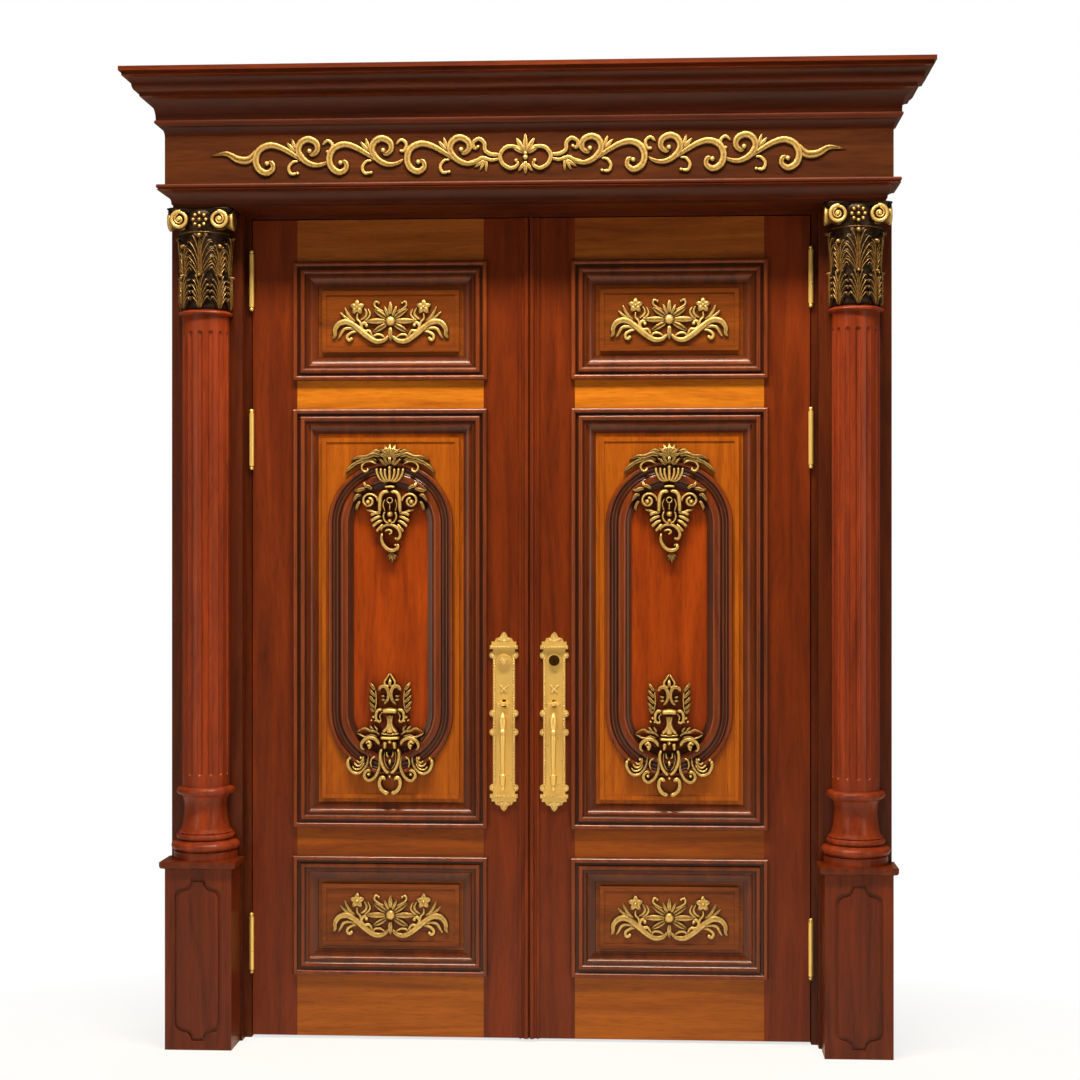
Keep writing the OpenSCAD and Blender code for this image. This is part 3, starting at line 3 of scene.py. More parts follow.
import bpy
import numpy as np
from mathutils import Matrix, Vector


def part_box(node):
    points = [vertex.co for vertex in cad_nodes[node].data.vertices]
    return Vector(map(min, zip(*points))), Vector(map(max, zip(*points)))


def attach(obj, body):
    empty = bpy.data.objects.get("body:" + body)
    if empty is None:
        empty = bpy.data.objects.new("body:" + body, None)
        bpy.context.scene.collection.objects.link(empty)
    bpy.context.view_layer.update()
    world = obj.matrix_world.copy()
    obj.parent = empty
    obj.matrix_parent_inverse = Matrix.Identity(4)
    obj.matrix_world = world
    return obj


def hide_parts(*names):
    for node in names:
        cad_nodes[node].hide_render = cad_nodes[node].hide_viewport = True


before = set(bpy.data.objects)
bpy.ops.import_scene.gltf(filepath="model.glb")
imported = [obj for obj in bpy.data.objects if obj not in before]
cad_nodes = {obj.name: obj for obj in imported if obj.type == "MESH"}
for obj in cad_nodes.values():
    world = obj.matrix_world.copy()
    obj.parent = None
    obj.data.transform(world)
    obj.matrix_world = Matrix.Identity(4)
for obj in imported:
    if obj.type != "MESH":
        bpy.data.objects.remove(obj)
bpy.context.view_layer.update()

# Jambs and head. Straight lengths of varnished hardwood that line the wall opening,
# stained red brown, with the door stop worked on the jambs and planted on the head.
# The grain runs along each length, under several coats of gloss varnish.
WHITE = (1.0, 1.0, 1.0, 1.0)


def tint(red, green, blue):
    """A display colour from 0 to 255 made linear: below 0.04 divided by 12.92, else raised to 2.4."""
    share = np.array([red, green, blue]) / 255.0
    linear = np.where(share < 0.04045, share / 12.92, ((share + 0.055) / 1.055) ** 2.4)
    return (*linear.tolist(), 1.0)


def link(tree, source, target):
    """Joins an output socket to an input socket."""
    tree.links.new(source, target)


def set_sockets(node, **sockets):
    """Sets a node's sockets by name, with the underscores read as spaces."""
    for name, value in sockets.items():
        node.inputs[name.replace("_", " ")].default_value = value


def add_node(tree, kind, **sockets):
    """Adds a shader node and sets its sockets."""
    made = tree.nodes.new(kind)
    set_sockets(made, **sockets)
    return made


def new_finish(name):
    """A new material, with its node tree and its shader."""
    finish = bpy.data.materials.new(name)
    finish.use_nodes = True
    return finish, finish.node_tree, finish.node_tree.nodes["Principled BSDF"]


def object_place(tree):
    """The Object coordinates of the surface."""
    return tree.nodes.new("ShaderNodeTexCoord").outputs["Object"]


def blend_colours(tree, share, first, second, mode="MIX"):
    """A colour mix of two colours or sockets by a share from 0 to 1."""
    made = tree.nodes.new("ShaderNodeMix")
    made.data_type = "RGBA"
    made.blend_type = mode
    for place, value in ((0, share), (6, first), (7, second)):
        if isinstance(value, (int, float, tuple)):
            made.inputs[place].default_value = value
        else:
            link(tree, value, made.inputs[place])
    return made.outputs[2]


def colour_ramp(tree, source, first, last, *between, blend="LINEAR"):
    """A colour ramp over a socket, from stops that are each a position and a colour."""
    made = tree.nodes.new("ShaderNodeValToRGB")
    made.color_ramp.interpolation = blend
    stops = made.color_ramp.elements
    for place, (position, colour) in enumerate((first, last)):
        stops[place].position = position
        stops[place].color = colour
    for position, colour in between:
        stops.new(position).color = colour
    link(tree, source, made.inputs["Fac"])
    return made.outputs["Color"]


def varnished_timber(name, deep, pale, grain, glazed_and_shaded=False, tone=None, gloss=0.14):
    """Stained timber: noise drawn out along the grain mixes a deep and a pale stain, a finer
    noise darkens the pores, and an attribute of glaze and painted shade darkens the quirks and hollows of a
    moulding."""
    finish, tree, shader = new_finish(name)
    place = object_place(tree)
    stretch = {"x": (0.7, 9.0, 9.0), "z": (9.0, 9.0, 0.7)}[grain]
    drawn = add_node(tree, "ShaderNodeMapping", Scale=stretch)
    link(tree, place, drawn.inputs["Vector"])
    figure = add_node(tree, "ShaderNodeTexNoise", Scale=2.6, Detail=8.0, Roughness=0.66, Distortion=0.7)
    link(tree, drawn.outputs[0], figure.inputs["Vector"])
    pores = add_node(tree, "ShaderNodeTexNoise", Scale=26.0, Detail=3.0, Roughness=0.6)
    link(tree, drawn.outputs[0], pores.inputs["Vector"])
    colour = colour_ramp(tree, figure.outputs["Fac"], (0.24, deep), (0.8, pale))
    if tone is not None:
        colour = tone(tree, place, colour)
    dark_pores = colour_ramp(tree, pores.outputs["Fac"], (0.32, (0.55, 0.5, 0.46, 1.0)), (0.5, WHITE))
    colour = blend_colours(tree, 0.55, colour, dark_pores, "MULTIPLY")
    if glazed_and_shaded:
        # Glaze and painted shade: the attribute darkens the stain in the quirks and hollows of mouldings.
        glaze_and_shade_value = tree.nodes.new("ShaderNodeAttribute")
        glaze_and_shade_value.attribute_name = "glaze_and_crevice_shade"
        colour = blend_colours(tree, glaze_and_shade_value.outputs["Fac"], tint(30, 10, 4), colour)
    link(tree, colour, shader.inputs["Base Color"])
    set_sockets(shader, Roughness=0.38, Specular_IOR_Level=0.2, Coat_Weight=gloss, Coat_Roughness=0.16)
    raised = add_node(tree, "ShaderNodeBump", Strength=0.06, Distance=0.001)
    link(tree, pores.outputs["Fac"], raised.inputs["Height"])
    link(tree, raised.outputs[0], shader.inputs["Normal"])
    return finish


def dress(finish, *names):
    """Gives CAD pieces a finish in their first material slot."""
    for name in names:
        mesh = cad_nodes[name].data
        mesh.materials.clear()
        mesh.materials.append(finish)


upright_stain = varnished_timber("upright_stain", tint(52, 16, 4), tint(104, 42, 11), "z")
level_stain = varnished_timber("level_stain", tint(52, 16, 4), tint(104, 42, 11), "x")
dress(upright_stain, "left_jamb", "right_jamb")
dress(level_stain, "head_jamb")

# Pilaster boards, pedestals and columns. Boards planted on the wall face carry boxed
# pedestals with a sunk cartouche, turned bases and half-round fluted shafts, all of the
# same timber with the columns in a redder stain, glued and screwed from behind.
column_stain = varnished_timber("column_stain", tint(88, 29, 11), tint(162, 66, 28), "z")
plinth_stain = varnished_timber("plinth_stain", tint(58, 18, 4), tint(124, 48, 11), "z")
dress(upright_stain, "left_pilaster_board", "right_pilaster_board")
dress(plinth_stain, "left_pedestal", "right_pedestal")
dress(column_stain, "left_column_base", "right_column_base", "left_column_shaft", "right_column_shaft")

# Architrave, frieze and cornice. Long mouldings run on the machine and mitred at both
# ends, laid over the columns and nailed to the frieze board; their coves and fillets
# are darker than their beads, partly from a dark glaze and partly as painted shade.
MM = 0.001
LEAF_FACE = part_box("right_hinge_stile")[0].y
frieze_low, frieze_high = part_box("frieze_board")


def in_place(points):
    """Elevation points (across, up, out, in mm) in the part's frame, in metres: across is x, up is z, and
    out is measured forward from the front face of the leaves."""
    points = np.asarray(points, float)
    return np.stack([points[..., 0] * MM, LEAF_FACE - points[..., 2] * MM, points[..., 1] * MM], -1)


def piece(name, points, faces, finish, body, stands_for=(), shade=None, key="glaze_and_crevice_shade", smooth=True):
    """A mesh from points and lists of corners, with an optional value at each point, riding on a body."""
    mesh = bpy.data.meshes.new(name)
    mesh.from_pydata(points.reshape(-1, 3).tolist(), [], [list(f) for f in faces])
    mesh.update()
    mesh.polygons.foreach_set("use_smooth", np.full(len(mesh.polygons), smooth))
    if shade is not None:
        layer = mesh.attributes.new(key, "FLOAT", "POINT")
        layer.data.foreach_set("value", np.ascontiguousarray(shade.reshape(-1), dtype=np.float32))
    mesh.materials.append(finish)
    made = bpy.data.objects.new(name, mesh)
    bpy.context.scene.collection.objects.link(made)
    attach(made, body)
    if stands_for:
        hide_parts(*stands_for)
    return made


def grid_faces(rows, cols, wrap_rows=False, wrap_cols=False):
    """Corner numbers of the quads of a grid of points, closed round in either direction."""
    i = np.arange(rows if wrap_rows else rows - 1)[:, None]
    j = np.arange(cols if wrap_cols else cols - 1)[None, :]
    a, b = i * cols + j, i * cols + (j + 1) % cols
    c, d = ((i + 1) % rows) * cols + (j + 1) % cols, ((i + 1) % rows) * cols + j
    return np.stack([a, b, c, d], -1).reshape(-1, 4)


def arc(middle, radius, start, end, count):
    """Points of an arc of an ellipse: middle plus radius times cosine and sine of an angle in degrees."""
    angle = np.radians(np.linspace(start, end, count))
    return np.stack([middle[0] + radius[0] * np.cos(angle), middle[1] + radius[1] * np.sin(angle)], -1)


def run_round(profile, half_width, front, low):
    """A profile of overhang and height carried round the back left, front left, front right and back
    right corners of a board: each corner moves out by the overhang, and the back stays on the wall."""
    over, up = profile[:, 0], low + profile[:, 1]
    flat = np.zeros_like(over)
    corners = [(-half_width - over, up, flat), (-half_width - over, up, front + over),
               (half_width + over, up, front + over), (half_width + over, up, flat)]
    points = np.stack([np.stack(c, -1) for c in corners])
    count = len(profile)
    faces = grid_faces(4, count)[:, ::-1].tolist()
    top = [k * count + count - 1 for k in range(4)]
    under = [k * count for k in range(4)]
    back = list(range(3 * count, 4 * count)) + list(range(count - 1, -1, -1))
    return points, faces + [top, under[::-1], back[::-1]]


def glaze_and_shade_of(profile, depth):
    """Glaze left by the rag, with painted shade in the quirks: each point's height over the straight line
    between its neighbours a depth away along the profile, from 0 in a quirk to 1 on a bead."""
    reach = max(2, len(profile) // depth)
    padded = np.pad(profile, ((reach, reach), (0, 0)), "edge")
    middle = (padded[: len(profile)] + padded[2 * reach:]) / 2
    along = padded[2 * reach:] - padded[: len(profile)]
    side = np.stack([along[:, 1], -along[:, 0]], -1) / (np.linalg.norm(along, axis=1, keepdims=True) + 1e-6)
    return np.sum((profile - middle) * side, -1)


half_width = frieze_high.x / MM
frieze_front = (LEAF_FACE - frieze_low.y) / MM
entablature_stain = varnished_timber("entablature_stain", tint(54, 18, 4), tint(120, 48, 13), "x",
                                     glazed_and_shaded=True)
# The frieze's stain is made darker than the entablature's as painted shade under the cornice.
frieze_stain_in_shade = varnished_timber("frieze_stain_in_shade", tint(42, 15, 4), tint(92, 45, 13), "x")
dress(frieze_stain_in_shade, "frieze_board")

architrave_low, architrave_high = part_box("architrave")
tall = (architrave_high.z - architrave_low.z) / MM
architrave_profile = np.concatenate([
    [(-18, 0), (-18, tall * 0.13)],
    arc((20, tall * 0.16), (34.5, tall * 0.6), 180, 92, 14),
    [(15, tall * 0.8)],
    arc((17, tall * 0.91), (3, tall * 0.085), -80, 80, 9),
    [(16.6, tall)]])
points, faces = run_round(architrave_profile, half_width, frieze_front, architrave_low.z / MM)
# Glaze and painted shade: darker in the architrave's coves and quirks.
soft = np.clip(0.75 + glaze_and_shade_of(architrave_profile, 12) * 0.12, 0.15, 1)
piece("architrave_run", in_place(points), faces, entablature_stain, "frame", ["architrave"],
      np.tile(soft, (4, 1)), smooth=False)

cornice_low, cornice_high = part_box("cornice")
tall = (cornice_high.z - cornice_low.z) / MM
over = cornice_high.x / MM - half_width
cornice_profile = np.concatenate([
    arc((0.17 * over, 0.0), (0.17 * over, 0.16 * tall), 180, 95, 12),
    arc((0.19 * over, 0.215 * tall), (0.045 * over, 0.032 * tall), -85, 85, 9),
    arc((0.52 * over, 0.265 * tall), (0.32 * over, 0.315 * tall), 180, 93, 22),
    [(0.55 * over, 0.585 * tall), (0.55 * over, 0.63 * tall)],
    arc((0.55 * over, 0.75 * tall), (0.17 * over, 0.115 * tall), -84, -5, 12),
    arc((0.90 * over, 0.75 * tall), (0.18 * over, 0.11 * tall), 178, 95, 12),
    [(0.93 * over, 0.865 * tall), (0.93 * over, 0.925 * tall), (over, 0.93 * tall), (over, tall)]])
points, faces = run_round(cornice_profile, half_width, frieze_front, cornice_low.z / MM)
# Glaze and painted shade: darker in the cornice's coves and quirks.
soft = np.clip(0.8 + glaze_and_shade_of(cornice_profile, 14) * 0.06, 0.15, 1)
piece("cornice_run", in_place(points), faces, entablature_stain, "frame", ["cornice"],
      np.tile(soft, (4, 1)), smooth=False)

# Carving on the frieze. A running scroll of leaves and volutes cast in resin from carved
# wood and gilded, with gold on the ridges and dark bronze in the hollows, partly a toning
# glaze and partly painted shade; it is glued and pinned to the frieze board.


def maths(tree, operation, first, second=0.0):
    """A Math node of two inputs, each a socket or a number."""
    made = tree.nodes.new("ShaderNodeMath")
    made.operation = operation
    for place, value in enumerate((first, second)):
        if isinstance(value, (int, float)):
            made.inputs[place].default_value = value
        else:
            link(tree, value, made.inputs[place])
    return made.outputs[0]


def toned_and_shaded_metal(name, hollow, slope, crest, metallic):
    """Metal leaf or casting toned with a dark glaze and given painted shade: the ridge value at each point,
    broken up by a fine noise, picks a colour from dark in the hollows, through the slopes, to bright on the
    crests."""
    finish, tree, shader = new_finish(name)
    ridge = tree.nodes.new("ShaderNodeAttribute")
    ridge.attribute_name = "ridge"
    speckle = add_node(tree, "ShaderNodeTexNoise", Scale=160.0, Detail=4.0, Roughness=0.65)
    link(tree, object_place(tree), speckle.inputs["Vector"])
    uneven = maths(tree, "MULTIPLY", maths(tree, "SUBTRACT", speckle.outputs["Fac"], 0.5), 0.55)
    value = maths(tree, "ADD", ridge.outputs["Fac"], uneven)
    toned = colour_ramp(tree, value, (0.3, hollow), (0.9, crest), (0.58, slope))
    link(tree, toned, shader.inputs["Base Color"])
    set_sockets(shader, Metallic=metallic, Roughness=0.38)
    return finish


gilt = toned_and_shaded_metal("gilding_with_painted_shade", tint(36, 21, 8), tint(122, 86, 36), tint(226, 192, 116), 0.55)
STEPS = 18
RING = 12


def cubic(corners):
    """Bezier curves: corners (strokes, 4, 2) weighted by the four cubic terms in a step t."""
    t = np.linspace(0, 1, STEPS)
    weights = np.stack([(1 - t) ** 3, 3 * (1 - t) ** 2 * t, 3 * (1 - t) * t ** 2, t ** 3], -1)
    return np.einsum("tk,skd->std", weights, corners)


def through(points, steps):
    """A line through given points: each span is a cubic whose end slopes are half the step between the
    points on either side, read off at evenly spaced places."""
    line = np.asarray(points, float)
    ends = np.concatenate([[2 * line[0] - line[1]], line, [2 * line[-1] - line[-2]]])
    place = np.linspace(0, len(line) - 1, steps)
    span = np.minimum(place.astype(int), len(line) - 2)
    t = (place - span)[:, None]
    a, b, c, d = (ends[span + k] for k in range(4))
    return b + t / 2 * (c - a + t * (2 * a - 5 * b + 4 * c - d + t * (3 * (b - c) + d - a)))


def swelling(widths, steps):
    """Half widths (strokes, 3) as a quadratic in t, rounded off at both ends."""
    t = np.linspace(0, 1, steps)
    weights = np.stack([(1 - t) ** 2, 2 * (1 - t) * t, t ** 2], -1)
    tips = np.clip(np.minimum(np.sqrt(t * 14), np.sqrt((1 - t) * 14)), 0.18, 1)
    return np.einsum("tk,sk->st", weights, widths) * tips


def coil(rows):
    """Volutes: a middle, first and last radius and first and last angle give points whose radius
    shrinks by an even ratio as the angle turns."""
    rows = np.asarray(rows, float)
    t = np.linspace(0, 1, STEPS * 2)
    radius = rows[:, 2, None] * (rows[:, 3] / rows[:, 2])[:, None] ** t
    angle = np.radians(rows[:, 4, None] + (rows[:, 5] - rows[:, 4])[:, None] * t)
    return rows[:, None, :2] + radius[..., None] * np.stack([np.cos(angle), np.sin(angle)], -1)


def relief(paths, widths, heights, vein):
    """Carved strokes (strokes, steps): each path carries a closed section whose top is a half ellipse
    with a vein cut along its middle and whose foot is a shallow one. Returns points, faces and ridge."""
    paths, widths, heights = (np.asarray(a, float) for a in (paths, widths, heights))
    count, steps = widths.shape
    along = np.gradient(paths, axis=1)
    side = np.stack([-along[..., 1], along[..., 0]], -1)
    side /= np.linalg.norm(side, axis=-1, keepdims=True) + 1e-9
    angle = np.linspace(0, 2 * np.pi, RING, endpoint=False)
    across, lift = np.cos(angle), np.sin(angle)
    cut = np.asarray(vein, float).reshape(-1, 1, 1) * np.exp(-(across / 0.22) ** 2)
    up = np.where(lift > 0, lift - cut * (lift > 0), 0.1 * lift)
    reach = across[None, None, :, None] * widths[:, :, None, None]
    flat = paths[:, :, None, :] + side[:, :, None, :] * reach
    taper = 0.35 + 0.65 * widths / widths.max(axis=1, keepdims=True)
    height = up * (heights[:, None] * taper)[:, :, None]
    points = np.concatenate([flat, height[..., None]], -1)
    # Ridge values as painted shade: dark at a stroke's foot, brightest along its top, dimmer where it thins.
    ridge = np.broadcast_to(np.clip(up, 0, 1), points.shape[:3]) * (0.55 + 0.45 * taper[:, :, None])
    quads = grid_faces(steps, RING, wrap_cols=True)
    base = (np.arange(count) * steps * RING)[:, None, None]
    faces = (quads[None] + base).reshape(-1, 4).tolist()
    loop = np.arange(RING)
    first = (base[:, 0] + loop[::-1]).tolist()
    last = (base[:, 0] + (steps - 1) * RING + loop).tolist()
    return points.reshape(-1, 3), faces + first + last, ridge.reshape(-1)


def domes(rows):
    """Beads: a middle, radius and height each give rings whose radius and height follow cosine and sine."""
    rows = np.asarray(rows, float)
    rise_angle = np.radians(np.linspace(-14, 86, 5))
    angle = np.linspace(0, 2 * np.pi, RING, endpoint=False)
    spread = np.cos(rise_angle)[None, :, None] * rows[:, 2, None, None]
    x = rows[:, 0, None, None] + spread * np.cos(angle)
    y = rows[:, 1, None, None] + spread * np.sin(angle)
    z = np.broadcast_to((np.sin(rise_angle)[None, :, None] * rows[:, 3, None, None]), x.shape)
    z = np.maximum(z, -0.1 * rows[:, 3, None, None])
    points = np.stack([x, y, z], -1)
    quads = grid_faces(len(rise_angle), RING, wrap_cols=True)
    base = (np.arange(len(rows)) * len(rise_angle) * RING)[:, None, None]
    faces = (quads[None] + base).reshape(-1, 4).tolist()
    loop = np.arange(RING)
    foot = (base[:, 0] + loop[::-1]).tolist()
    crown = (base[:, 0] + (len(rise_angle) - 1) * RING + loop).tolist()
    # Ridge values as painted shade: dark at a bead's foot, brightest on its top.
    ridge = np.broadcast_to(np.clip(np.sin(rise_angle), 0, 1)[None, :, None], x.shape) * 0.9 + 0.1
    return points.reshape(-1, 3), faces + foot + crown, ridge.reshape(-1)


def gather(parts):
    """Joins several lists of points, faces and values into one, moving the face numbers along."""
    points, faces, values, start = [], [], [], 0
    for some_points, some_faces, some_values in parts:
        points.append(some_points)
        values.append(some_values)
        faces += [[corner + start for corner in face] for face in some_faces]
        start += len(some_points)
    return np.concatenate(points), faces, np.concatenate(values)


def mirrored(part):
    """The same part on the other side of the middle, with its faces turned round."""
    points, faces, values = part
    return points * [-1, 1, 1], [face[::-1] for face in faces], values


def moved(part, across, up, out):
    """The same part moved across, up and out."""
    return part[0] + [across, up, out], part[1], part[2]


def ornament(unit=1.0, height=1.0, curves=(), coils=(), beads=(), lines=(), steps=36):
    """Half an ornament from tables in shares of a unit: curves hold four points, three half widths, a
    rise and a vein, and lines the same with any number of points; coils hold a middle, radii, angles,
    half widths, rise and vein; beads a middle, radius and rise."""
    parts = []
    if len(lines):
        paths = np.stack([through(row[0], steps) for row in lines]) * unit
        widths = swelling(np.array([row[1] for row in lines], float), steps) * unit
        rises = np.array([row[2] for row in lines]) * height
        parts.append(relief(paths, widths, rises, [row[3] for row in lines]))
    if len(curves):
        paths = cubic(np.array([row[0] for row in curves], float)) * unit
        widths = swelling(np.array([row[1] for row in curves], float), STEPS) * unit
        rises = np.array([row[2] for row in curves]) * height
        parts.append(relief(paths, widths, rises, [row[3] for row in curves]))
    if len(coils):
        t = np.linspace(0, 1, STEPS * 2)
        ends = np.array([row[6:8] for row in coils], float)
        widths = (ends[:, :1] + (ends[:, 1:] - ends[:, :1]) * t) * unit
        rises = np.array([row[8] for row in coils]) * height
        parts.append(relief(coil(coils) * unit, widths, rises, [row[9] for row in coils]))
    if len(beads):
        parts.append(domes(np.asarray(beads, float) * [unit, unit, unit, height]))
    return gather(parts)


def petal(x, y, length, width, direction, rise, vein=0.35):
    """One curve row for a straight petal that starts at a point and swells towards its tip."""
    step = length / 3 * np.array([math.cos(math.radians(direction)), math.sin(math.radians(direction))])
    start = np.array([x, y])
    return ([start, start + step, start + 2 * step, start + 3 * step],
            [width * 0.25, width * 0.8, width * 0.08], rise, vein)


def carving(name, part, shift, body, node):
    """A gilded part moved to its place on a body, where it stands for a CAD node."""
    points, faces, ridge = moved(part, *shift)
    piece(name, in_place(points), faces, gilt, body, [node], ridge, "ridge")


def slid(line, x):
    """The same line moved across by x."""
    return [(x + across, up) for across, up in line]


scroll_unit = 110.5
scroll_rise = 10.5
scroll_lift = 6
scroll_lines = [
    ([(6.6, 0.26), (6.72, 0.14), (6.93, -0.05), (7.2, -0.04), (7.5, 0.11), (7.88, 0.06)],
     (0.05, 0.2, 0.01), 0.8, 0.5),
    ([(0.05, 0.06), (0.24, 0.2), (0.48, 0.19), (0.63, 0.0), (0.56, -0.22), (0.36, -0.33), (0.2, -0.25),
      (0.22, -0.12)], (0.05, 0.085, 0.045), 0.85, 0.3),
    ([(0.6, 0.02), (0.84, 0.02), (1.0, 0.12), (1.02, 0.3), (1.15, 0.41), (1.3, 0.32), (1.27, 0.18),
      (1.16, 0.2)], (0.06, 0.075, 0.045), 0.75, 0.3),
    ([(0.62, -0.08), (0.84, -0.12), (1.06, -0.06), (1.2, -0.12), (1.46, -0.2)], (0.04, 0.07, 0.05), 0.7, 0.3)]
scroll_curves = [petal(*row) for row in (
    (0.03, 0.06, 0.42, 0.17, 62, 0.9), (0.05, 0.05, 0.34, 0.14, 30, 0.75),
    (0.03, -0.2, 0.26, 0.11, -55, 0.7), (0.98, -0.1, 0.36, 0.11, -34, 0.6),
    (1.0, -0.12, 0.3, 0.1, -62, 0.6), (0.96, -0.12, 0.3, 0.09, -86, 0.55))]
scroll_beads = [(0.23, -0.14, 0.062, 0.95), (1.18, 0.21, 0.055, 0.85)]
lower_wave = [(-1.3, -0.2), (-0.95, -0.1), (-0.62, 0.1), (-0.35, 0.25), (-0.08, 0.31), (0.17, 0.2),
              (0.27, -0.04), (0.2, -0.28), (0, -0.39), (-0.16, -0.28), (-0.13, -0.13), (0, -0.11)]
upper_wave = [(-1.62, -0.05), (-1.45, -0.17), (-1.2, -0.2), (-0.95, -0.08), (-0.8, 0.15), (-0.86, 0.36),
              (-1.05, 0.45), (-1.25, 0.35), (-1.28, 0.17), (-1.15, 0.06), (-1.05, 0.14)]
hook = [(-0.8, -0.1), (-0.66, -0.12), (-0.56, -0.26), (-0.62, -0.41), (-0.77, -0.4)]
tendril = [(-1.4, 0.3), (-1.54, 0.41), (-1.66, 0.3), (-1.6, 0.14), (-1.48, 0.14)]
wave_widths = (0.035, 0.165, 0.05)
for x in (6.48, 4.63, 2.68):
    scroll_lines += [(slid(lower_wave, x), wave_widths, 0.85, 0.35),
                     (slid(upper_wave, x), wave_widths, 0.85, 0.35),
                     (slid(hook, x), (0.03, 0.065, 0.04), 0.65, 0.2)]
    scroll_curves += [petal(x - 0.74, 0.12, 0.36, 0.12, 74, 0.7), petal(x - 0.72, 0.12, 0.34, 0.12, 50, 0.7),
                      petal(x - 0.76, 0.14, 0.32, 0.11, 102, 0.65)]
    scroll_beads += [(x - 0.01, -0.15, 0.075, 1.0), (x - 1.08, 0.15, 0.075, 1.0),
                     (x - 0.78, -0.4, 0.052, 0.75)]
for x in (4.63, 6.48):
    scroll_lines.append((slid(tendril, x), (0.04, 0.06, 0.04), 0.65, 0.2))
half = ornament(scroll_unit, scroll_rise, scroll_curves, beads=scroll_beads, lines=scroll_lines)
heart = ornament(scroll_unit, scroll_rise,
                 [petal(0, 0.04, 0.5, 0.17, 90, 0.95), petal(0, -0.14, 0.34, 0.14, -90, 0.75)],
                 beads=[(0, -0.06, 0.08, 1.0), (0, 0.04, 0.06, 0.95)])
carving("frieze_scrollwork", gather([half, mirrored(half), heart]),
        (0, (frieze_low.z + frieze_high.z) / 2 / MM + scroll_lift, frieze_front), "frame", "frieze_scroll")

# Capitals. Each is one turned and carved block on its shaft: a bell with two tiers of
# ribbed leaves, two volutes with a rosette between them and a thin slab on top, gilded
# and toned, with painted shade, as the frieze is.
capital_low, capital_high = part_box("right_capital")
column_x = (capital_low.x + capital_high.x) / 2 / MM
capital_tall = (capital_high.z - capital_low.z) / MM
capital_half = (capital_high.x - capital_low.x) / 2 / MM
column_out = (LEAF_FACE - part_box("right_pilaster_board")[0].y) / MM + 15.0
bell_back = -14.8
wrap_radius = 66.0
volute_up = capital_tall - 33
volute_across = 56.0
volute_out = 72.0
roll_out = 44.0
slab_tall = 13.0
LEAF_STEPS = 12
LOBE_TONE = 0.34
RIB_TONE = 0.7
# The fillet's low tone is a painted shadow.
FILLET_SHADOW_TONE = 0.5
ROSETTE_TONE = 0.8
SIDES = (("left", -1), ("right", 1))


def bell_radius(share):
    """Radius of the bell by share of its height: even below, then swelling by a power of the height."""
    return 63 + 12 * np.clip((share - 0.35) / 0.55, 0, 1) ** 1.4


def end_caps(rows, cols):
    """The first row of a grid of points, turned round, and its last row, each as one face."""
    return [list(range(cols))[::-1], list(range((rows - 1) * cols, rows * cols))]


def turned_bell():
    """The bell as a surface of angle and height: sine and cosine of the angle times the radius there,
    cut flat at the back."""
    turn = np.radians(np.linspace(-101, 101, 49))[None, :]
    share = np.linspace(0, 1, 16)[:, None]
    across, out = bell_radius(share) * np.sin(turn), bell_radius(share) * np.cos(turn)
    up = np.broadcast_to(share * (capital_tall - 2), across.shape)
    points = np.stack([across, up, np.maximum(out, bell_back)], -1)
    rows, cols = across.shape
    edge = np.arange(rows) * cols
    back = np.stack([edge[:-1], edge[1:], edge[1:] + cols - 1, edge[:-1] + cols - 1], -1).tolist()
    faces = grid_faces(rows, cols).tolist() + back + end_caps(rows, cols)
    return points.reshape(-1, 3), faces, np.full(rows * cols, 0.3)


ACANTHUS = ((0.0, 0.92, 0.36, 0.12), (0.06, 1.0, 0.54, 0.1), (0.18, 0.94, 0.71, 0.07),
            (0.34, 0.76, 0.86, 0.04), (0.5, 0.46, 0.99, 0.0))


def acanthus(middle, low, tall, wide):
    """Strokes of one leaf, in mm across and up: a broad stem, and pairs of lobes that leave it in turn and
    bend outwards. Returns the lobes and, on the same lines, their thin ribs."""
    stem = [(middle, low), (middle, low + tall * 0.5), (middle, low + tall)]
    lobes = []
    ribs = [(stem, (wide * 0.17, wide * 0.2, wide * 0.08), 1.0, 0.35)]
    for root, side, tip, fall in ACANTHUS:
        up = [low + tall * share for share in (root, root + (tip - root) * 0.6, tip, tip - fall)]
        for sign in (-1, 1):
            across = [middle + sign * wide * side * share for share in (0.08, 0.32, 0.74, 1.0)]
            lobes.append((list(zip(across, up)), (wide * 0.1, wide * 0.4, wide * 0.12), 0.66, 0.0))
            ribs.append((list(zip(across, up)), (1.2, 2.1, 1.2), 0.9, 0.0))
    return lobes, ribs


def wrapped(part, tone):
    """Bends a flat part round the bell: across becomes an angle at the bell's radius, height is added to
    it, and the ridge values are multiplied by a tone."""
    flat, faces, values = part
    out = bell_radius(np.clip(flat[:, 1] / capital_tall, 0, 1)) - 1 + flat[:, 2]
    angle = flat[:, 0] / wrap_radius
    points = np.stack([out * np.sin(angle), flat[:, 1], np.maximum(out * np.cos(angle), bell_back)], -1)
    return points, faces, values * tone


def tier(leaves, rise, tips):
    """One ring of leaves, each given as a turn in degrees, foot, height and half width, with curled tips."""
    drawn = [acanthus(math.radians(turn) * wrap_radius, low, tall, wide) for turn, low, tall, wide in leaves]
    lobes = [(line, widths, high * rise, vein) for some, _ in drawn for line, widths, high, vein in some]
    ribs = [(line, widths, high * rise, vein) for _, some in drawn for line, widths, high, vein in some]
    curls = [(math.radians(turn) * wrap_radius, low + tall, tips, rise + 5) for turn, low, tall, _ in leaves]
    return gather([wrapped(ornament(lines=lobes, steps=LEAF_STEPS), LOBE_TONE),
                   wrapped(ornament(beads=curls, lines=ribs, steps=LEAF_STEPS), RIB_TONE)])


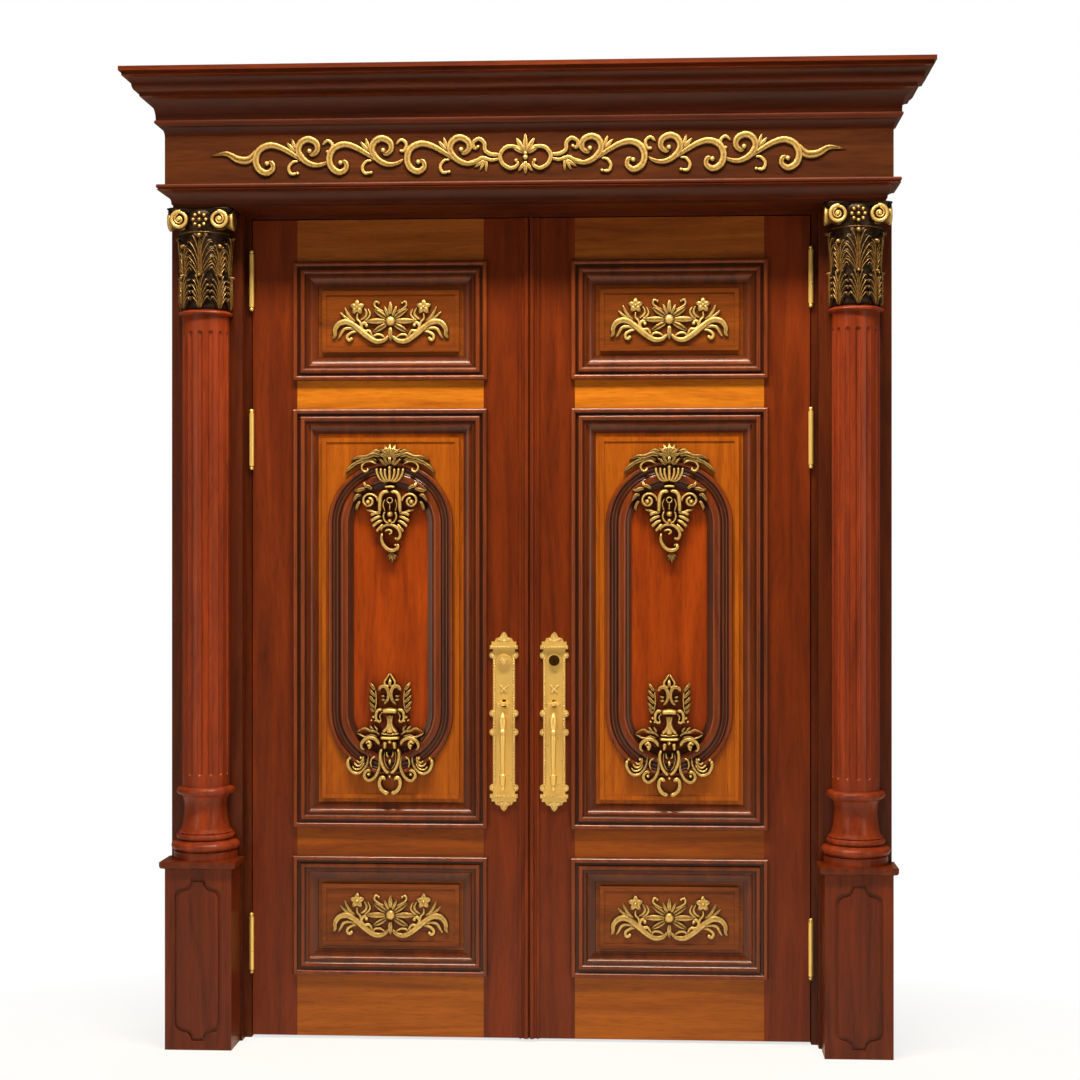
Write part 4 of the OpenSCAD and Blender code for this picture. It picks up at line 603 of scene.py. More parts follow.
upper_leaves = tier([(-88, 84, 120, 46), (0, 84, 120, 46), (88, 84, 120, 46), (-44, 84, 92, 30),
                     (44, 84, 92, 30)], 11.0, 8.5)
lower_leaves = tier([(turn, 1, 94, 29) for turn in (-92, -46, 0, 46, 92)], 15.0, 6.5)
fillet_line = ([(-116, 214), (0, 214), (116, 214)], (3, 3, 3), 6.0, 0.0)
fillet = wrapped(ornament(lines=[fillet_line]), FILLET_SHADOW_TONE)
volute_coils = [(volute_across, volute_up, 21.5, 19.5, 100, -262, 7.6, 6.0, 12.0, 0.0),
                (volute_across, volute_up, 15, 4, 80, -420, 3.0, 4.6, 12.0, 0.0)]
volute = moved(ornament(coils=volute_coils, beads=[(volute_across, volute_up, 6.5, 13.0)]), 0, 0, volute_out)
berries = [(18 * math.cos(turn), 18 * math.sin(turn), 6.8, 9.0)
           for turn in np.radians(np.arange(0, 360, 45)).tolist()]
points, faces, values = moved(ornament(beads=berries + [(0, 0, 7, 11.0)]), 0, volute_up, volute_out - 2)
rosette = (points, faces, values * ROSETTE_TONE)


def turned_roll():
    """The side of a volute as a surface of turn and length: a waisted roll about a level line across."""
    across = np.array([34.0, 46.0, 58.0, 70.0, 82.0, 90.0, 92.5])[:, None]
    radius = np.array([14.0, 28.0, 25.0, 20.0, 25.0, 28.0, 24.0])[:, None]
    # Ridge values along the roll are painted shade: darker at the waist and ends than on the swells.
    ridge = [0.35, 0.8, 0.66, 0.5, 0.66, 0.85, 0.6]
    turn = np.linspace(0, 2 * np.pi, 28, endpoint=False)
    rows, cols = len(across), len(turn)
    points = np.stack([np.broadcast_to(across, (rows, cols)), volute_up + radius * np.cos(turn),
                       roll_out + radius * np.sin(turn)], -1)
    faces = grid_faces(rows, cols, wrap_cols=True).tolist() + end_caps(rows, cols)
    return points.reshape(-1, 3), faces, np.repeat(ridge, cols)


def moulded_slab():
    """The slab as its outline carried up four steps, each set in by its own amount."""
    wide, deep = capital_half, 80.0
    outline = np.array([(-wide, bell_back), (wide, bell_back), (wide, deep - 12), (wide - 16, deep),
                        (28, deep - 6), (-28, deep - 6), (16 - wide, deep), (-wide, deep - 12)])
    up = np.array([0.0, 3.0, 6.0, 9.0, slab_tall])[:, None]
    inset = np.array([5.0, 1.5, 4.0, 0.6, 0.6])[:, None]
    across, out = outline[:, 0] * (1 - inset / wide), outline[:, 1] - inset * (outline[:, 1] > 0)
    points = np.stack([across, np.broadcast_to(capital_tall - slab_tall + up, across.shape), out], -1)
    rows, cols = across.shape
    faces = grid_faces(rows, cols, wrap_cols=True).tolist() + end_caps(rows, cols)
    return points.reshape(-1, 3), [face[::-1] for face in faces], np.full(rows * cols, 0.25)


roll = turned_roll()
capital = gather([turned_bell(), upper_leaves, lower_leaves, fillet, moulded_slab(), volute, mirrored(volute),
                  rosette, roll, mirrored(roll)])
for side, sign in SIDES:
    carving(side + "_capital_carving", capital, (sign * column_x, capital_low.z / MM, column_out),
            "frame", side + "_capital")

# Leaves. Stiles and rails are joined with tongues in the stiles' grooves and frame
# raised and fielded panels; the stiles are stained dark, the rails and fields amber,
# and the sunk ground inside the oval a redder brown.
panel_low, panel_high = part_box("right_main_panel")
leaf_middle = (panel_low.x + panel_high.x) / 2
panel_middle = (panel_low.z + panel_high.z) / 2
oval_low, oval_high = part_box("right_oval_moulding")
oval_half = (oval_high.x - oval_low.x) / 2
oval_straight = (oval_high.z - oval_low.z) / 2 - oval_half
OVAL_GROUND = 0.8
RAMP_TOP = 2.4


def axes_of(tree, place):
    """The three coordinates of a place as sockets."""
    axes = tree.nodes.new("ShaderNodeSeparateXYZ")
    link(tree, place, axes.inputs[0])
    return axes.outputs


def redden_oval(tree, place, colour):
    """Multiplies the stain by a redder one inside the oval, on the front only: the distance from the oval's
    upright middle line, past the ends of its straight part, compared with its half width."""
    axes = axes_of(tree, place)
    across = maths(tree, "SUBTRACT", maths(tree, "ABSOLUTE", axes["X"]), leaf_middle)
    up = maths(tree, "ABSOLUTE", maths(tree, "SUBTRACT", axes["Z"], panel_middle))
    past = maths(tree, "MAXIMUM", maths(tree, "SUBTRACT", up, oval_straight), 0.0)
    away = maths(tree, "SQRT", maths(tree, "ADD", maths(tree, "MULTIPLY", across, across),
                                     maths(tree, "MULTIPLY", past, past)))
    front = maths(tree, "LESS_THAN", axes["Y"], (panel_low.y + panel_high.y) / 2)
    inside = maths(tree, "MULTIPLY", front, maths(tree, "LESS_THAN", away, oval_half * OVAL_GROUND))
    redder = blend_colours(tree, 1.0, colour, (0.78, 0.46, 0.3, 1.0), "MULTIPLY")
    return blend_colours(tree, inside, colour, redder)


def painted_shade_by_height(tree, place, colour):
    """Painted shade by height: a stepped ramp up the leaf multiplies the stain, darkest on the top rail as
    painted shadow of the cornice, and darker on the lower rails than on the middle one.
    """
    height = maths(tree, "DIVIDE", axes_of(tree, place)["Z"], RAMP_TOP)
    height_shade = colour_ramp(tree, height, (0.0, (0.6, 0.52, 0.44, 1.0)), (0.85, (0.55, 0.5, 1.4, 1.0)),
                        (0.15, (0.5, 0.38, 0.3, 1.0)), (0.5, WHITE), blend="CONSTANT")
    return blend_colours(tree, 1.0, colour, height_shade, "MULTIPLY")


stile_stain = varnished_timber("stile_stain", tint(72, 22, 2), tint(132, 52, 8), "z")
# The rails' stain carries painted shade: a painted cornice shadow on the top rail and darker lower rails.
rail_stain = varnished_timber("rail_stain", tint(146, 70, 9), tint(224, 138, 28), "x", tone=painted_shade_by_height)
field_stain = varnished_timber("field_stain", tint(80, 35, 7), tint(150, 76, 18), "x")
oval_field_stain = varnished_timber("oval_field_stain", tint(124, 54, 4), tint(194, 106, 16), "z",
                                    tone=redden_oval)
for side, _ in SIDES:
    dress(stile_stain, side + "_hinge_stile", side + "_lock_stile")
    dress(rail_stain, side + "_rails")
    dress(field_stain, side + "_small_panels")
    dress(oval_field_stain, side + "_main_panel")

# Slit strip. A near-black matt strip glued in the left leaf's meeting edge, behind the beads
# and clear of the other leaf, closes the slit between the leaves; its near-black is painted shade for the
# slit.
slit_shade_finish, _, slit_shader = new_finish("painted_slit_shade")
set_sockets(slit_shader, Base_Color=tint(30, 12, 6), Roughness=0.95)
edge_low, edge_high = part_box("left_lock_stile")
felt_across = np.array([-1.25, 0.6, 0.6, -1.25])
felt_out = np.array([-9.0, -9.0, -4.0, -4.0])
points = np.stack([np.stack([felt_across, np.full(4, up / MM), felt_out], -1)
                   for up in (edge_low.z, edge_high.z)])
felt_faces = grid_faces(2, 4, wrap_cols=True)[:, ::-1].tolist() + [[0, 1, 2, 3], [7, 6, 5, 4]]
piece("left_slit_shade_strip", in_place(points), felt_faces, slit_shade_finish, "left_leaf", smooth=False)

# Panel mouldings. Four mitred lengths round every opening, on both faces, lap over the
# frame: a torus, a quirk, a second bead and a long hollow falling to the panel, wiped
# so that glaze stays in the quirks, with painted shade there, on the flanks of the beads and down the hollow.
moulding_stain = varnished_timber("moulding_stain", tint(72, 24, 3), tint(146, 64, 11), "z", glazed_and_shaded=True,
                                  gloss=0.5)
leaf_thick = (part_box("right_hinge_stile")[1].y - LEAF_FACE) / MM
moulding_profile = np.concatenate([
    [(12.3, -15.0), (12.3, 0.0), (0.4, 0.0), (0.4, 5.0)],
    arc((7.6, 8.4), (6.9, 6.6), 200, -20, 22),
    [(15.2, 4.2), (19.6, 4.2)],
    arc((28.3, 3.2), (7.8, 7.6), 172, 8, 16),
    [(36.6, 3.4), (43.0, 3.2)],
    arc((70.0, 4.0), (26.6, 16.4), 183, 268, 14),
    [(70.0, -15.0)]])


def bead_glaze_and_shade(start, end, count, gain, least, most):
    """Glaze and painted shade over a bead, darker on its flanks: the sine of the angle across it times a gain,
    kept between two values.
    """
    return np.clip(np.sin(np.radians(np.linspace(start, end, count))) * gain, least, most)


# Glaze and painted shade along the moulding's profile: darker in the quirks, on the flanks of the beads and
# down the hollow to the panel.
moulding_glaze_and_shade = np.concatenate([
    [0.2, 0.25, 0.3, 0.45], bead_glaze_and_shade(-5, 185, 22, 1.2, 0.35, 1), [0.12, 0.12],
    bead_glaze_and_shade(0, 180, 16, 1.1, 0.3, 0.9), [0.2, 0.5], np.linspace(0.9, 0.5, 14), [0.1]])


def mitred_frame(low, high, profile, sunk):
    """A profile of distance in and height carried round a rectangle: at each corner the point moves in
    along both sides by the same distance. Each corner is doubled for a hard mitre, and a sunk frame is
    turned over onto the back of the leaf."""
    into, out = profile[:, 0], profile[:, 1]
    signs = [(1, 1), (-1, 1), (-1, -1), (1, -1)]
    starts = [(low[0], low[1]), (high[0], low[1]), (high[0], high[1]), (low[0], high[1])]
    corners = [np.stack([c[0] + s[0] * into, c[1] + s[1] * into, out], -1) for c, s in zip(starts, signs)]
    count = len(profile)
    faces = grid_faces(2, count, wrap_cols=True)[:, ::-1].tolist()
    faces += [list(range(count)), list(range(count, 2 * count))[::-1]]
    lengths = [np.concatenate([corners[k], corners[(k + 1) % 4]]) for k in range(4)]
    points, faces, values = gather([(points, faces, np.tile(moulding_glaze_and_shade, 2)) for points in lengths])
    if sunk:
        points = points * [1, 1, -1] - [0, 0, leaf_thick]
        faces = [face[::-1] for face in faces]
    return points, faces, values


tongue = 10.0
lap = 12.0
small_opening = 314.0
open_left, open_right = panel_low.x / MM + tongue - lap, panel_high.x / MM - tongue + lap
main_span = (panel_low.z / MM + tongue - lap, panel_high.z / MM - tongue + lap)
moulding_low, moulding_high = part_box("right_small_mouldings")
small_tall = small_opening + 2 * lap
small_spans = ((moulding_low.z / MM, moulding_low.z / MM + small_tall),
               (moulding_high.z / MM - small_tall, moulding_high.z / MM))
for node, spans in (("_small_mouldings", small_spans), ("_main_moulding", (main_span,))):
    whole_frame = gather([mitred_frame((open_left, low), (open_right, high), moulding_profile, sunk)
                          for low, high in spans for sunk in (False, True)])
    for side, (points, faces, values) in (("left", mirrored(whole_frame)), ("right", whole_frame)):
        piece(side + node + "_run", in_place(points), faces, moulding_stain, side + "_leaf",
              [side + node], values, smooth=False)

# Oval mouldings. Bent and jointed lengths that follow an oblong oval on each main panel:
# an outer bead, a hollow and a broad round that drops to the sunk ground.
field_out = (LEAF_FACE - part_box("right_flower_sprays")[1].y) / MM
oval_run = oval_straight / MM
oval_profile = np.concatenate([
    [(-36.0, 0.1), (0.0, 0.1), (0.0, 3.0)],
    arc((6.5, 5.2), (6.3, 5.8), 195, -12, 18) * [-1, 1],
    [(-14.5, 3.6)],
    arc((23.5, 8.4), (9.0, 5.4), 215, 325, 12) * [-1, 1],
    arc((46.0, -1.0), (14.0, 8.4), 158, 12, 18) * [-1, 1],
    [(-65.0, -1.0), (-72.5, -2.6), (-72.5, -5.8), (-36.0, -5.8)]])
# Glaze and painted shade along the oval's profile: darker in its quirk and hollow and on the flanks of its
# beads.
oval_glaze_and_shade = np.concatenate([
    [0.2, 0.2, 0.35], bead_glaze_and_shade(0, 180, 18, 1.2, 0.3, 1), [0.12], 0.15 + 0.3 * np.abs(np.linspace(-1, 1, 12)),
    bead_glaze_and_shade(5, 175, 18, 1.0, 0.3, 0.9), [0.2, 0.4, 0.15, 0.15]])
bend = np.linspace(0, np.pi, 49)
line_angle = np.concatenate([bend, bend + np.pi])[:, None]
line_up = np.repeat([oval_run, -oval_run], len(bend))[:, None]
oval_reach = oval_half / MM + oval_profile[:, 0]
grid = (len(line_angle), len(oval_profile))
points = np.stack([np.cos(line_angle) * oval_reach, line_up + np.sin(line_angle) * oval_reach,
                   np.broadcast_to(field_out + oval_profile[:, 1], grid)], -1)
oval_faces = grid_faces(*grid, True, True)[:, ::-1].tolist()
for side, sign in SIDES:
    placed = points + np.array([sign * leaf_middle / MM, panel_middle / MM, 0])
    piece(side + "_oval_run", in_place(placed), oval_faces, moulding_stain, side + "_leaf",
          [side + "_oval_moulding"], np.tile(oval_glaze_and_shade, (grid[0], 1)), smooth=False)

# Flower sprays. One on each small panel: a daisy between two curling stems with leaves,
# rosettes and sprigs, cast, gilded and toned with painted shade in the hollows, glued to the field.
spray_unit = 166.0
spray_rise = 13.0
rosette_at = (0.57, 0.24)
spray_lines = [
    ([(0.02, -0.24), (0.12, -0.33), (0.26, -0.34), (0.42, -0.24), (0.55, -0.13), (0.64, -0.06)],
     (0.03, 0.075, 0.06), 0.9, 0.2),
    ([(0.52, -0.16), (0.64, -0.06), (0.76, -0.01), (0.88, -0.04), (0.95, -0.14), (0.95, -0.24), (1.0, -0.3)],
     (0.05, 0.085, 0.02), 0.95, 0.25),
    ([(0.58, -0.15), (0.7, -0.12), (0.8, -0.14), (0.86, -0.24), (0.9, -0.3)], (0.02, 0.05, 0.012), 0.7, 0.2),
    ([(0.56, -0.17), (0.66, -0.19), (0.74, -0.25), (0.72, -0.32), (0.65, -0.31)],
     (0.02, 0.045, 0.03), 0.7, 0.1),
    ([(0.5, -0.12), (0.52, -0.02), (0.57, 0.04), (0.57, 0.14)], (0.03, 0.025, 0.02), 0.55, 0),
    ([(0.6, 0.0), (0.67, 0.04), (0.74, 0.14), (0.79, 0.25)], (0.015, 0.05, 0.012), 0.65, 0.3),
    ([(0.63, 0.0), (0.72, 0.03), (0.8, 0.09), (0.87, 0.16)], (0.015, 0.045, 0.012), 0.6, 0.3),
    ([(0.52, 0.02), (0.44, 0.07), (0.41, 0.14), (0.45, 0.23)], (0.015, 0.04, 0.012), 0.6, 0.2),
    ([(0.46, 0.0), (0.38, 0.06), (0.35, 0.13), (0.39, 0.22)], (0.015, 0.035, 0.012), 0.55, 0.1),
    ([(0.1, 0.16), (0.19, 0.2), (0.27, 0.26), (0.26, 0.33), (0.2, 0.32)], (0.015, 0.032, 0.022), 0.65, 0),
    ([(0.3, -0.27), (0.36, -0.17), (0.45, -0.17), (0.5, -0.1), (0.46, -0.03), (0.39, -0.06)],
     (0.025, 0.045, 0.03), 0.75, 0.1),
    ([(0.08, -0.29), (0.18, -0.23), (0.27, -0.24), (0.3, -0.31)], (0.015, 0.04, 0.012), 0.6, 0.1)]
spray_curves = [petal(*row) for row in (
    (0.07, 0.0, 0.38, 0.13, 0, 0.95, 0.35), (0.06, 0.05, 0.29, 0.12, 34, 0.9, 0.6),
    (0.06, -0.05, 0.29, 0.12, -30, 0.9, 0.6), (0.03, 0.08, 0.2, 0.07, 66, 0.7, 0.3))]
spray_curves += [petal(*rosette_at, 0.135, 0.125, turn, 0.9, 0.2) for turn in range(18, 378, 72)]
spray_beads = [(0.2, 0.31, 0.03, 0.75), (0.67, -0.3, 0.04, 0.75), (0.41, -0.07, 0.04, 0.8),
               (*rosette_at, 0.04, 1.1)]
spray_half = ornament(spray_unit, spray_rise, spray_curves, beads=spray_beads, lines=spray_lines)
spray_heart = ornament(spray_unit, spray_rise,
                       [petal(0, 0.11, 0.23, 0.1, 90, 0.85, 0.3), petal(0, -0.1, 0.24, 0.1, -90, 0.9, 0.3)],
                       beads=[(0, 0, 0.1, 1.05)])
one_spray = gather([spray_half, mirrored(spray_half), spray_heart])
sprays = gather([moved(one_spray, 0, (low + high) / 2, 0) for low, high in small_spans])
for side, sign in SIDES:
    carving(side + "_spray_carving", sprays, (sign * leaf_middle / MM, 0, field_out), side + "_leaf",
            side + "_flower_sprays")

# Crest and pendant. The crest hangs over the top of the oval with wings, a fluted cup
# and a drop; the pendant stands on its foot as an urn of leaves over a shield with
# scrolls. Both are cast, gilded, toned with painted shade in the hollows and glued over the moulding.
crest_unit = 116.0
crest_up = 1541.0
carving_rise = 30.0
# A view is an enlarged part of the photograph: its corner there, in the photograph's 1080 x 1080 pixels, and
# the ornament's middle and half width in pixels of the view.
enlargement = 1568 / 150
crest_view = ((610, 430), (655, 651), 431)
share_places = 3
left_half = -1
whole = 1


def in_photo(corner, points):
    """Points of a view in the photograph's pixels: the view's corner plus the points over the enlargement."""
    return np.array(corner) + np.array(points) / enlargement


def as_shares(rows, view, way):
    """Stroke rows whose points are given on a view: each point's distance from the ornament's middle,
    across and up, over its half width, all in the photograph's pixels. A left half is mirrored."""
    corner, middle, half_width = view
    turned = np.array([way, -1]) / (half_width / enlargement)
    return [(np.round((in_photo(corner, points) - in_photo(corner, middle)) * turned, share_places), *rest)
            for points, *rest in rows]


crest_picks = [
    ([(575, 205), (602, 182), (655, 170)], (0.03, 0.035, 0.03), 0.75, 0),
    ([(640, 342), (612, 302), (592, 262), (562, 232)], (0.03, 0.055, 0.015), 0.95, 0.4),
    ([(628, 346), (592, 328), (560, 296), (522, 274)], (0.03, 0.055, 0.015), 0.85, 0.4),
    ([(560, 254), (480, 234), (400, 262), (320, 262), (238, 300)], (0.05, 0.1, 0.015), 0.9, 0.45),
    ([(524, 302), (430, 276), (350, 302), (282, 330), (208, 366)], (0.04, 0.1, 0.015), 0.8, 0.45),
    ([(330, 312), (270, 342), (216, 386), (180, 432)], (0.03, 0.08, 0.012), 0.7, 0.45),
    ([(562, 216), (500, 198), (438, 220)], (0.04, 0.07, 0.02), 0.8, 0.4),
    ([(520, 336), (450, 306), (385, 320), (356, 370), (382, 412), (420, 402), (414, 372)],
     (0.03, 0.04, 0.03), 0.7, 0.1),
    ([(514, 376), (524, 440), (560, 500), (622, 526)], (0.035, 0.045, 0.03), 0.9, 0.1),
    ([(560, 374), (566, 440), (590, 492), (636, 526)], (0.035, 0.045, 0.03), 1, 0.1),
    ([(606, 380), (606, 440), (622, 490), (646, 524)], (0.035, 0.045, 0.03), 1.05, 0.1),
    ([(656, 624), (592, 630), (558, 672), (549, 760), (546, 852)], (0.05, 0.075, 0.05), 0.95, 0.1),
    ([(604, 700), (582, 760), (602, 832)], (0.02, 0.03, 0.02), 0.6, 0),
    ([(602, 832), (586, 886), (610, 940), (655, 956)], (0.025, 0.035, 0.025), 0.7, 0),
    ([(470, 602), (430, 572), (392, 560), (380, 514)], (0.03, 0.08, 0.012), 0.75, 0.4),
    ([(402, 592), (350, 600), (310, 612), (260, 604)], (0.03, 0.085, 0.012), 0.8, 0.4),
    ([(352, 662), (312, 662), (286, 692), (262, 736)], (0.03, 0.075, 0.012), 0.75, 0.4),
    ([(340, 722), (316, 760), (302, 800), (322, 822)], (0.03, 0.06, 0.012), 0.7, 0.4),
    ([(400, 812), (470, 832), (542, 862)], (0.025, 0.045, 0.03), 0.7, 0.2),
    ([(562, 846), (500, 851), (448, 872)], (0.03, 0.06, 0.045), 0.75, 0.2),
    ([(562, 882), (505, 902), (450, 937)], (0.03, 0.062, 0.045), 0.75, 0.2),
    ([(574, 926), (520, 952), (470, 994)], (0.03, 0.06, 0.045), 0.75, 0.2),
    ([(582, 966), (548, 1002), (510, 1044)], (0.03, 0.055, 0.04), 0.7, 0.2)]
crest_lines = as_shares(crest_picks, crest_view, left_half)
drop_picks = [
    ([(560, 1042), (570, 1005), (620, 975), (690, 980), (745, 1020), (765, 1075), (745, 1120), (715, 1120)],
     (0.03, 0.055, 0.04), 0.8, 0.2),
    ([(598, 1042), (640, 1025), (672, 1045), (660, 1070)], (0.03, 0.045, 0.035), 0.75, 0.1),
    ([(576, 1052), (565, 1110), (580, 1170), (625, 1225), (680, 1243), (730, 1222), (738, 1190), (712, 1180)],
     (0.03, 0.075, 0.04), 0.85, 0.2)]
drop_lines = as_shares(drop_picks, crest_view, whole)
crest_shell = [petal(0, 0.884, 0.36, 0.1, turn, 0.95, 0.4) for turn in (66, 42, 18)]
crest_half = ornament(crest_unit, carving_rise, crest_shell,
                      [(0.51, -0.17, 0.215, 0.07, 180, -270, 0.035, 0.045, 0.9, 0.1)],
                      [(0.53, -0.19, 0.075, 1.0)], crest_lines)
palmette = [petal(0.058, -1.418, long, wide, turn, 0.7, 0.4)
            for long, wide, turn in ((0.27, 0.07, -90), (0.22, 0.06, -68), (0.22, 0.06, -112),
                                     (0.18, 0.05, -45), (0.18, 0.05, -135))]
cup_lines = [([(0, 0.292), (0, 0.49), (0, 0.664)], (0.04, 0.05, 0.04), 1.05, 0.1),
             ([(-0.128, 0.172), (0, 0.183), (0.128, 0.172)], (0.035, 0.045, 0.035), 0.95, 0),
             ([(0, -0.218), (0, -0.3), (0, -0.392)], (0.02, 0.025, 0.02), 0.8, 0)]
crest_petals = [petal(0, 0.884, 0.36, 0.1, 90, 1.0, 0.4), petal(0, 0.71, 0.26, 0.09, 90, 1.0, 0.4)]
crest_heart = ornament(crest_unit, carving_rise, crest_petals + palmette,
                       [(0, -0.15, 0.065, 0.065, 0, 350, 0.02, 0.02, 0.8, 0)],
                       [(0, 0.64, 0.055, 1.0), (0, -0.49, 0.085, 0.95), (0, -0.647, 0.06, 0.9),
                        (0.146, -1.084, 0.045, 0.85), (0, -0.968, 0.035, 0.8), (0.139, -1.239, 0.04, 0.85)],
                       cup_lines + drop_lines)
pendant_unit = 119.0
pendant_up = 861.0
pendant_view = ((610, 670), (655, 758), 442.5)
pendant_picks = [
    ([(655, 252), (612, 236), (600, 200), (628, 152), (655, 108)], (0.03, 0.045, 0.02), 0.8, 0.1),
    ([(546, 300), (552, 262), (592, 245), (630, 275), (642, 340), (625, 400), (585, 442)],
     (0.04, 0.065, 0.03), 0.9, 0.25),
    ([(608, 352), (580, 352), (552, 340)], (0.02, 0.05, 0.012), 0.6, 0.3),
    ([(610, 388), (582, 392), (556, 382)], (0.02, 0.05, 0.012), 0.6, 0.3),
    ([(500, 292), (470, 250), (438, 204)], (0.03, 0.07, 0.012), 0.75, 0.4),
    ([(505, 362), (470, 322), (432, 272)], (0.03, 0.07, 0.012), 0.75, 0.4),
    ([(502, 422), (466, 386), (426, 338)], (0.03, 0.07, 0.012), 0.75, 0.4),
    ([(496, 482), (462, 446), (428, 404)], (0.03, 0.065, 0.012), 0.7, 0.4),
    ([(490, 522), (464, 496), (440, 460)], (0.03, 0.055, 0.012), 0.65, 0.4),
    ([(490, 524), (506, 440), (508, 360), (500, 290)], (0.02, 0.03, 0.02), 0.5, 0),
    ([(626, 546), (641, 620), (626, 682), (580, 736)], (0.035, 0.045, 0.05), 0.95, 0.1),
    ([(582, 494), (530, 500), (508, 545), (514, 602), (550, 619), (560, 590)],
     (0.045, 0.05, 0.03), 0.8, 0.15),
    ([(576, 520), (548, 556), (558, 598)], (0.02, 0.035, 0.02), 0.6, 0),
    ([(550, 766), (500, 726), (440, 716), (380, 692), (294, 736)], (0.02, 0.05, 0.015), 0.65, 0.3),
    ([(522, 782), (460, 760), (390, 782), (296, 740)], (0.02, 0.04, 0.015), 0.55, 0.2),
    ([(482, 716), (460, 686), (430, 662)], (0.02, 0.045, 0.012), 0.6, 0.3),
    ([(522, 722), (510, 690), (480, 655)], (0.02, 0.045, 0.012), 0.6, 0.3),
    ([(548, 874), (520, 820), (465, 790), (404, 800), (358, 846), (358, 896), (396, 920)],
     (0.04, 0.075, 0.025), 0.9, 0.2),
    ([(396, 852), (430, 826), (452, 850), (440, 890), (424, 896)], (0.04, 0.06, 0.04), 0.95, 0.1),
    ([(572, 900), (555, 960), (565, 1040), (600, 1120), (650, 1166)], (0.045, 0.055, 0.045), 0.95, 0.1),
    ([(607, 828), (605, 866), (600, 906)], (0.06, 0.075, 0.04), 1, 0),
    ([(622, 932), (624, 972), (642, 992)], (0.02, 0.035, 0.02), 0.7, 0),
    ([(602, 932), (592, 1000), (612, 1080), (646, 1126)], (0.015, 0.022, 0.015), 0.5, 0),
    ([(226, 1000), (209, 1060), (244, 1136), (310, 1164), (370, 1130), (412, 1065), (426, 975)],
     (0.05, 0.055, 0.02), 0.85, 0.15),
    ([(256, 1086), (290, 1120), (345, 1110), (386, 1050)], (0.025, 0.04, 0.02), 0.7, 0.1),
    ([(272, 1050), (310, 1084), (350, 1070), (382, 1010)], (0.025, 0.04, 0.02), 0.7, 0.1),
    ([(302, 1028), (330, 1050), (364, 1020), (376, 984)], (0.025, 0.035, 0.02), 0.65, 0.1),
    ([(535, 985), (548, 1050), (535, 1130), (495, 1205), (435, 1238),
      (388, 1200), (395, 1150), (430, 1130), (456, 1156)], (0.03, 0.06, 0.04), 0.85, 0.2),
    ([(502, 985), (462, 1010), (450, 1060), (466, 1112)], (0.02, 0.04, 0.02), 0.6, 0.1),
    ([(606, 1242), (590, 1205), (558, 1215), (545, 1265), (560, 1320), (600, 1360), (650, 1373)],
     (0.05, 0.065, 0.06), 0.9, 0.15)]
pendant_lines = as_shares(pendant_picks, pendant_view, left_half)
urn_picks = [
    ([(655, 542), (655, 640), (655, 742)], (0.07, 0.05, 0.12), 1.05, 0.1),
    ([(578, 510), (655, 502), (732, 510)], (0.07, 0.1, 0.07), 1.05, 0),
    ([(560, 744), (655, 752), (750, 744)], (0.03, 0.04, 0.03), 0.85, 0),
    ([(554, 787), (655, 791), (756, 787)], (0.05, 0.06, 0.05), 1, 0)]
urn_lines = as_shares(urn_picks, pendant_view, whole)
pendant_beads = [(0.391, 0.42, 0.045, 0.8), (0.436, 0.346, 0.04, 0.8), (0.35, 0.334, 0.035, 0.75),
                 (0.504, -0.249, 0.05, 1.0), (0.956, -0.554, 0.05, 0.85), (0.689, -0.547, 0.05, 0.8),
                 (0.502, -0.936, 0.055, 0.9), (0.163, -1.026, 0.055, 0.9)]
pendant_half = ornament(pendant_unit, carving_rise, beads=pendant_beads, lines=pendant_lines)
pendant_petals = [petal(0, 1.14, 0.22, 0.1, 90, 0.85, 0.2), petal(0, -0.716, 0.16, 0.08, 90, 0.8, 0.2)]
pendant_heart = ornament(pendant_unit, carving_rise, pendant_petals,
                         beads=[(0, -0.16, 0.07, 0.95), (0, -0.99, 0.05, 0.9)], lines=urn_lines)
crest = gather([crest_half, mirrored(crest_half), crest_heart])
pendant = gather([pendant_half, mirrored(pendant_half), pendant_heart])
for side, sign in SIDES:
    for part, up, name in ((crest, crest_up, "_crest"), (pendant, pendant_up, "_pendant")):
        carving(side + name + "_carving", part, (sign * leaf_middle / MM, up, field_out), side + "_leaf",
                side + name)

# Hinges, handles and lock. Cast brass, polished and lacquered, is screwed to the stiles
# and jambs; the lock case, bolts and strike are steel let into the meeting edges.


def metal(name, colour, roughness, bare=1.0):
    """A metal of one colour, less metallic under lacquer, with roughness broken up by fine noise."""
    finish, tree, shader = new_finish(name)
    set_sockets(shader, Base_Color=colour, Metallic=bare)
    grain = add_node(tree, "ShaderNodeTexNoise", Scale=90.0, Detail=3.0)
    link(tree, object_place(tree), grain.inputs["Vector"])
    uneven = maths(tree, "MULTIPLY", grain.outputs["Fac"], 0.12)
    link(tree, maths(tree, "ADD", uneven, roughness - 0.06), shader.inputs["Roughness"])
    return finish


polished_brass = metal("polished_brass", tint(252, 216, 126), 0.3, 0.55)
lock_steel = metal("lock_steel", tint(176, 176, 172), 0.34)
dark_brass = metal("dark_brass", tint(92, 66, 30), 0.36)
dress(polished_brass, "hinge_jamb_plates", "hinge_pins", "left_inner_handle", "right_inner_plate",
      "right_inner_lever", "right_thumb_turn")
for side, _ in SIDES:
    dress(polished_brass, side + "_hinge_plates", side + "_handle_plate", side + "_grip",
          side + "_thumb_piece")
dress(lock_steel, "lock_case", "latch_bolt", "dead_bolt", "strike_plate", "top_flush_bolt",
      "bottom_flush_bolt")
dress(dark_brass, "key_cylinder")

